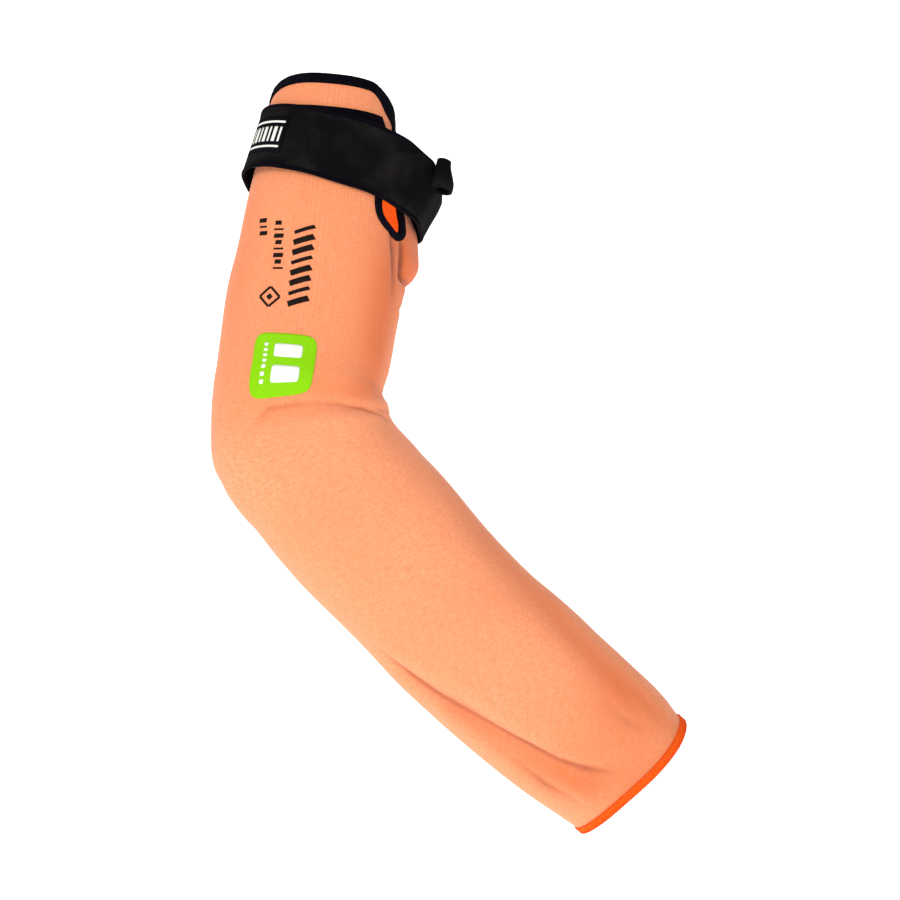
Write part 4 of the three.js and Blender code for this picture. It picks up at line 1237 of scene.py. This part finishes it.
# Rows of short bars and a plain diamond: along, around, half length, half width, turn
BAR_PITCH = 4.4
marks += [(*mark, 0.0) for mark in [
    (104.0 + BAR_PITCH * k, 113.5 - 0.7 * k, 0.6 if k % 3 == 1 else 1.4, 3.4 if k % 3 else 2.2, 0)
    for k in range(8)
] + [
    (102.0 + BAR_PITCH * k, 127.5 - 1.0 * k, 0.6 if k == 1 else 1.4, 2.8, 0) for k in range(3)
] + [
    (150.7, 115.0, 0.75, 4.6, 45), (157.3, 115.0, 0.75, 4.6, -45), (150.7, 108.0, 0.75, 4.6, -45),
    (157.3, 108.0, 0.75, 4.6, 45), (154.0, 111.5, 1.6, 1.6, 45),
]]
cloth_plates("print_marks", marks, BLACK_INK, PRINT_LIFT)

# The lime patch, with plain white blocks and dots: down from its middle, across, half length, half width
PATCH_MIDDLE = UPPER_LENGTH - PATCH_ABOVE_ELBOW + PATCH_LENGTH / 2
PATCH_BARS = ([(-7.2, 3.6, 4.4, 8.6), (7.2, 3.6, 4.4, 8.6)]
              + [(-10.8 + 3.6 * k, -10.6, 1.0, 1.3) for k in range(7)])
PATCH_DEGREE = degree_length(PATCH_MIDDLE, PATCH_AROUND)
patch_field = (PATCH_MIDDLE, PATCH_AROUND, PATCH_LENGTH / 2, PATCH_DEGREE * PATCH_ANGLE / 2, 0, PATCH_ROUND)
cloth_plates("print_patch_field", [patch_field], LIME_INK, PRINT_LIFT, ["print_patch"])
patch_bars = [(PATCH_MIDDLE + down, PATCH_AROUND - across / PATCH_DEGREE, *halves, 0, BAR_ROUND)
              for down, across, *halves in PATCH_BARS]
cloth_plates("print_patch_bars", patch_bars, WHITE_INK, PRINT_LIFT + BAR_LIFT)


# The scene: a pale floor that curves up behind, soft light and the photo's camera
def backdrop():
    floor_z, floor_front, wall_y, wall_top, half_width, bend = -560, -2600, 1500, 3000, 3500, 500
    profile = [(floor_front, floor_z), (wall_y - bend, floor_z)]
    profile += [(wall_y - bend + bend * math.sin(t), floor_z + bend * (1 - math.cos(t)))
                for t in np.linspace(0.1, math.pi / 2, 14)]
    profile += [(wall_y, wall_top)]
    points = [(x, y, z) for y, z in profile for x in (-half_width, half_width)]
    obj = mesh_object("backdrop", points, grid_faces(len(profile), 2))
    s = Shader("pale_floor", roughness=0.95, specular=0.0)
    s.surface.inputs["Emission Color"].default_value = (1, 1, 1, 1)
    s.surface.inputs["Emission Strength"].default_value = 0.65
    obj.data.materials.append(s.finish(srgb(252, 252, 252)))


def area_light(name, place, target, size, power):
    data = bpy.data.lights.new(name, "AREA")
    data.shape = "DISK"
    data.size = size
    data.energy = power
    obj = bpy.data.objects.new(name, data)
    obj.location = place
    obj.rotation_euler = (Vector(target) - Vector(place)).to_track_quat("-Z", "Y").to_euler()
    bpy.context.scene.collection.objects.link(obj)


backdrop()
AIM = (0.07, 0.0, -0.18)
area_light("key", (-0.66, -1.5, 0.5), AIM, 0.8, 12.4)
area_light("fill", (0.5, -1.6, -0.3), AIM, 1.4, 3.0)

world = bpy.context.scene.world or bpy.data.worlds.new("studio")
bpy.context.scene.world = world
world.use_nodes = True
world.node_tree.nodes["Background"].inputs["Color"].default_value = (1, 1, 1, 1)
world.node_tree.nodes["Background"].inputs["Strength"].default_value = 0.40

# The photo's camera: level, with its place in millimetres
CAMERA_LENS = 56.7
CAMERA_SENSOR = 36
CAMERA_PLACE = (83.35, -973.1, -190.4)
camera_data = bpy.data.cameras.new("photo_camera")
camera_data.lens = CAMERA_LENS
camera_data.sensor_width = CAMERA_SENSOR
camera = bpy.data.objects.new("photo_camera", camera_data)
camera.location = [v * MM for v in CAMERA_PLACE]
camera.rotation_euler = (math.radians(90), 0, 0)
bpy.context.scene.collection.objects.link(camera)
bpy.context.scene.camera = camera
bpy.context.scene.view_settings.view_transform = "Standard"
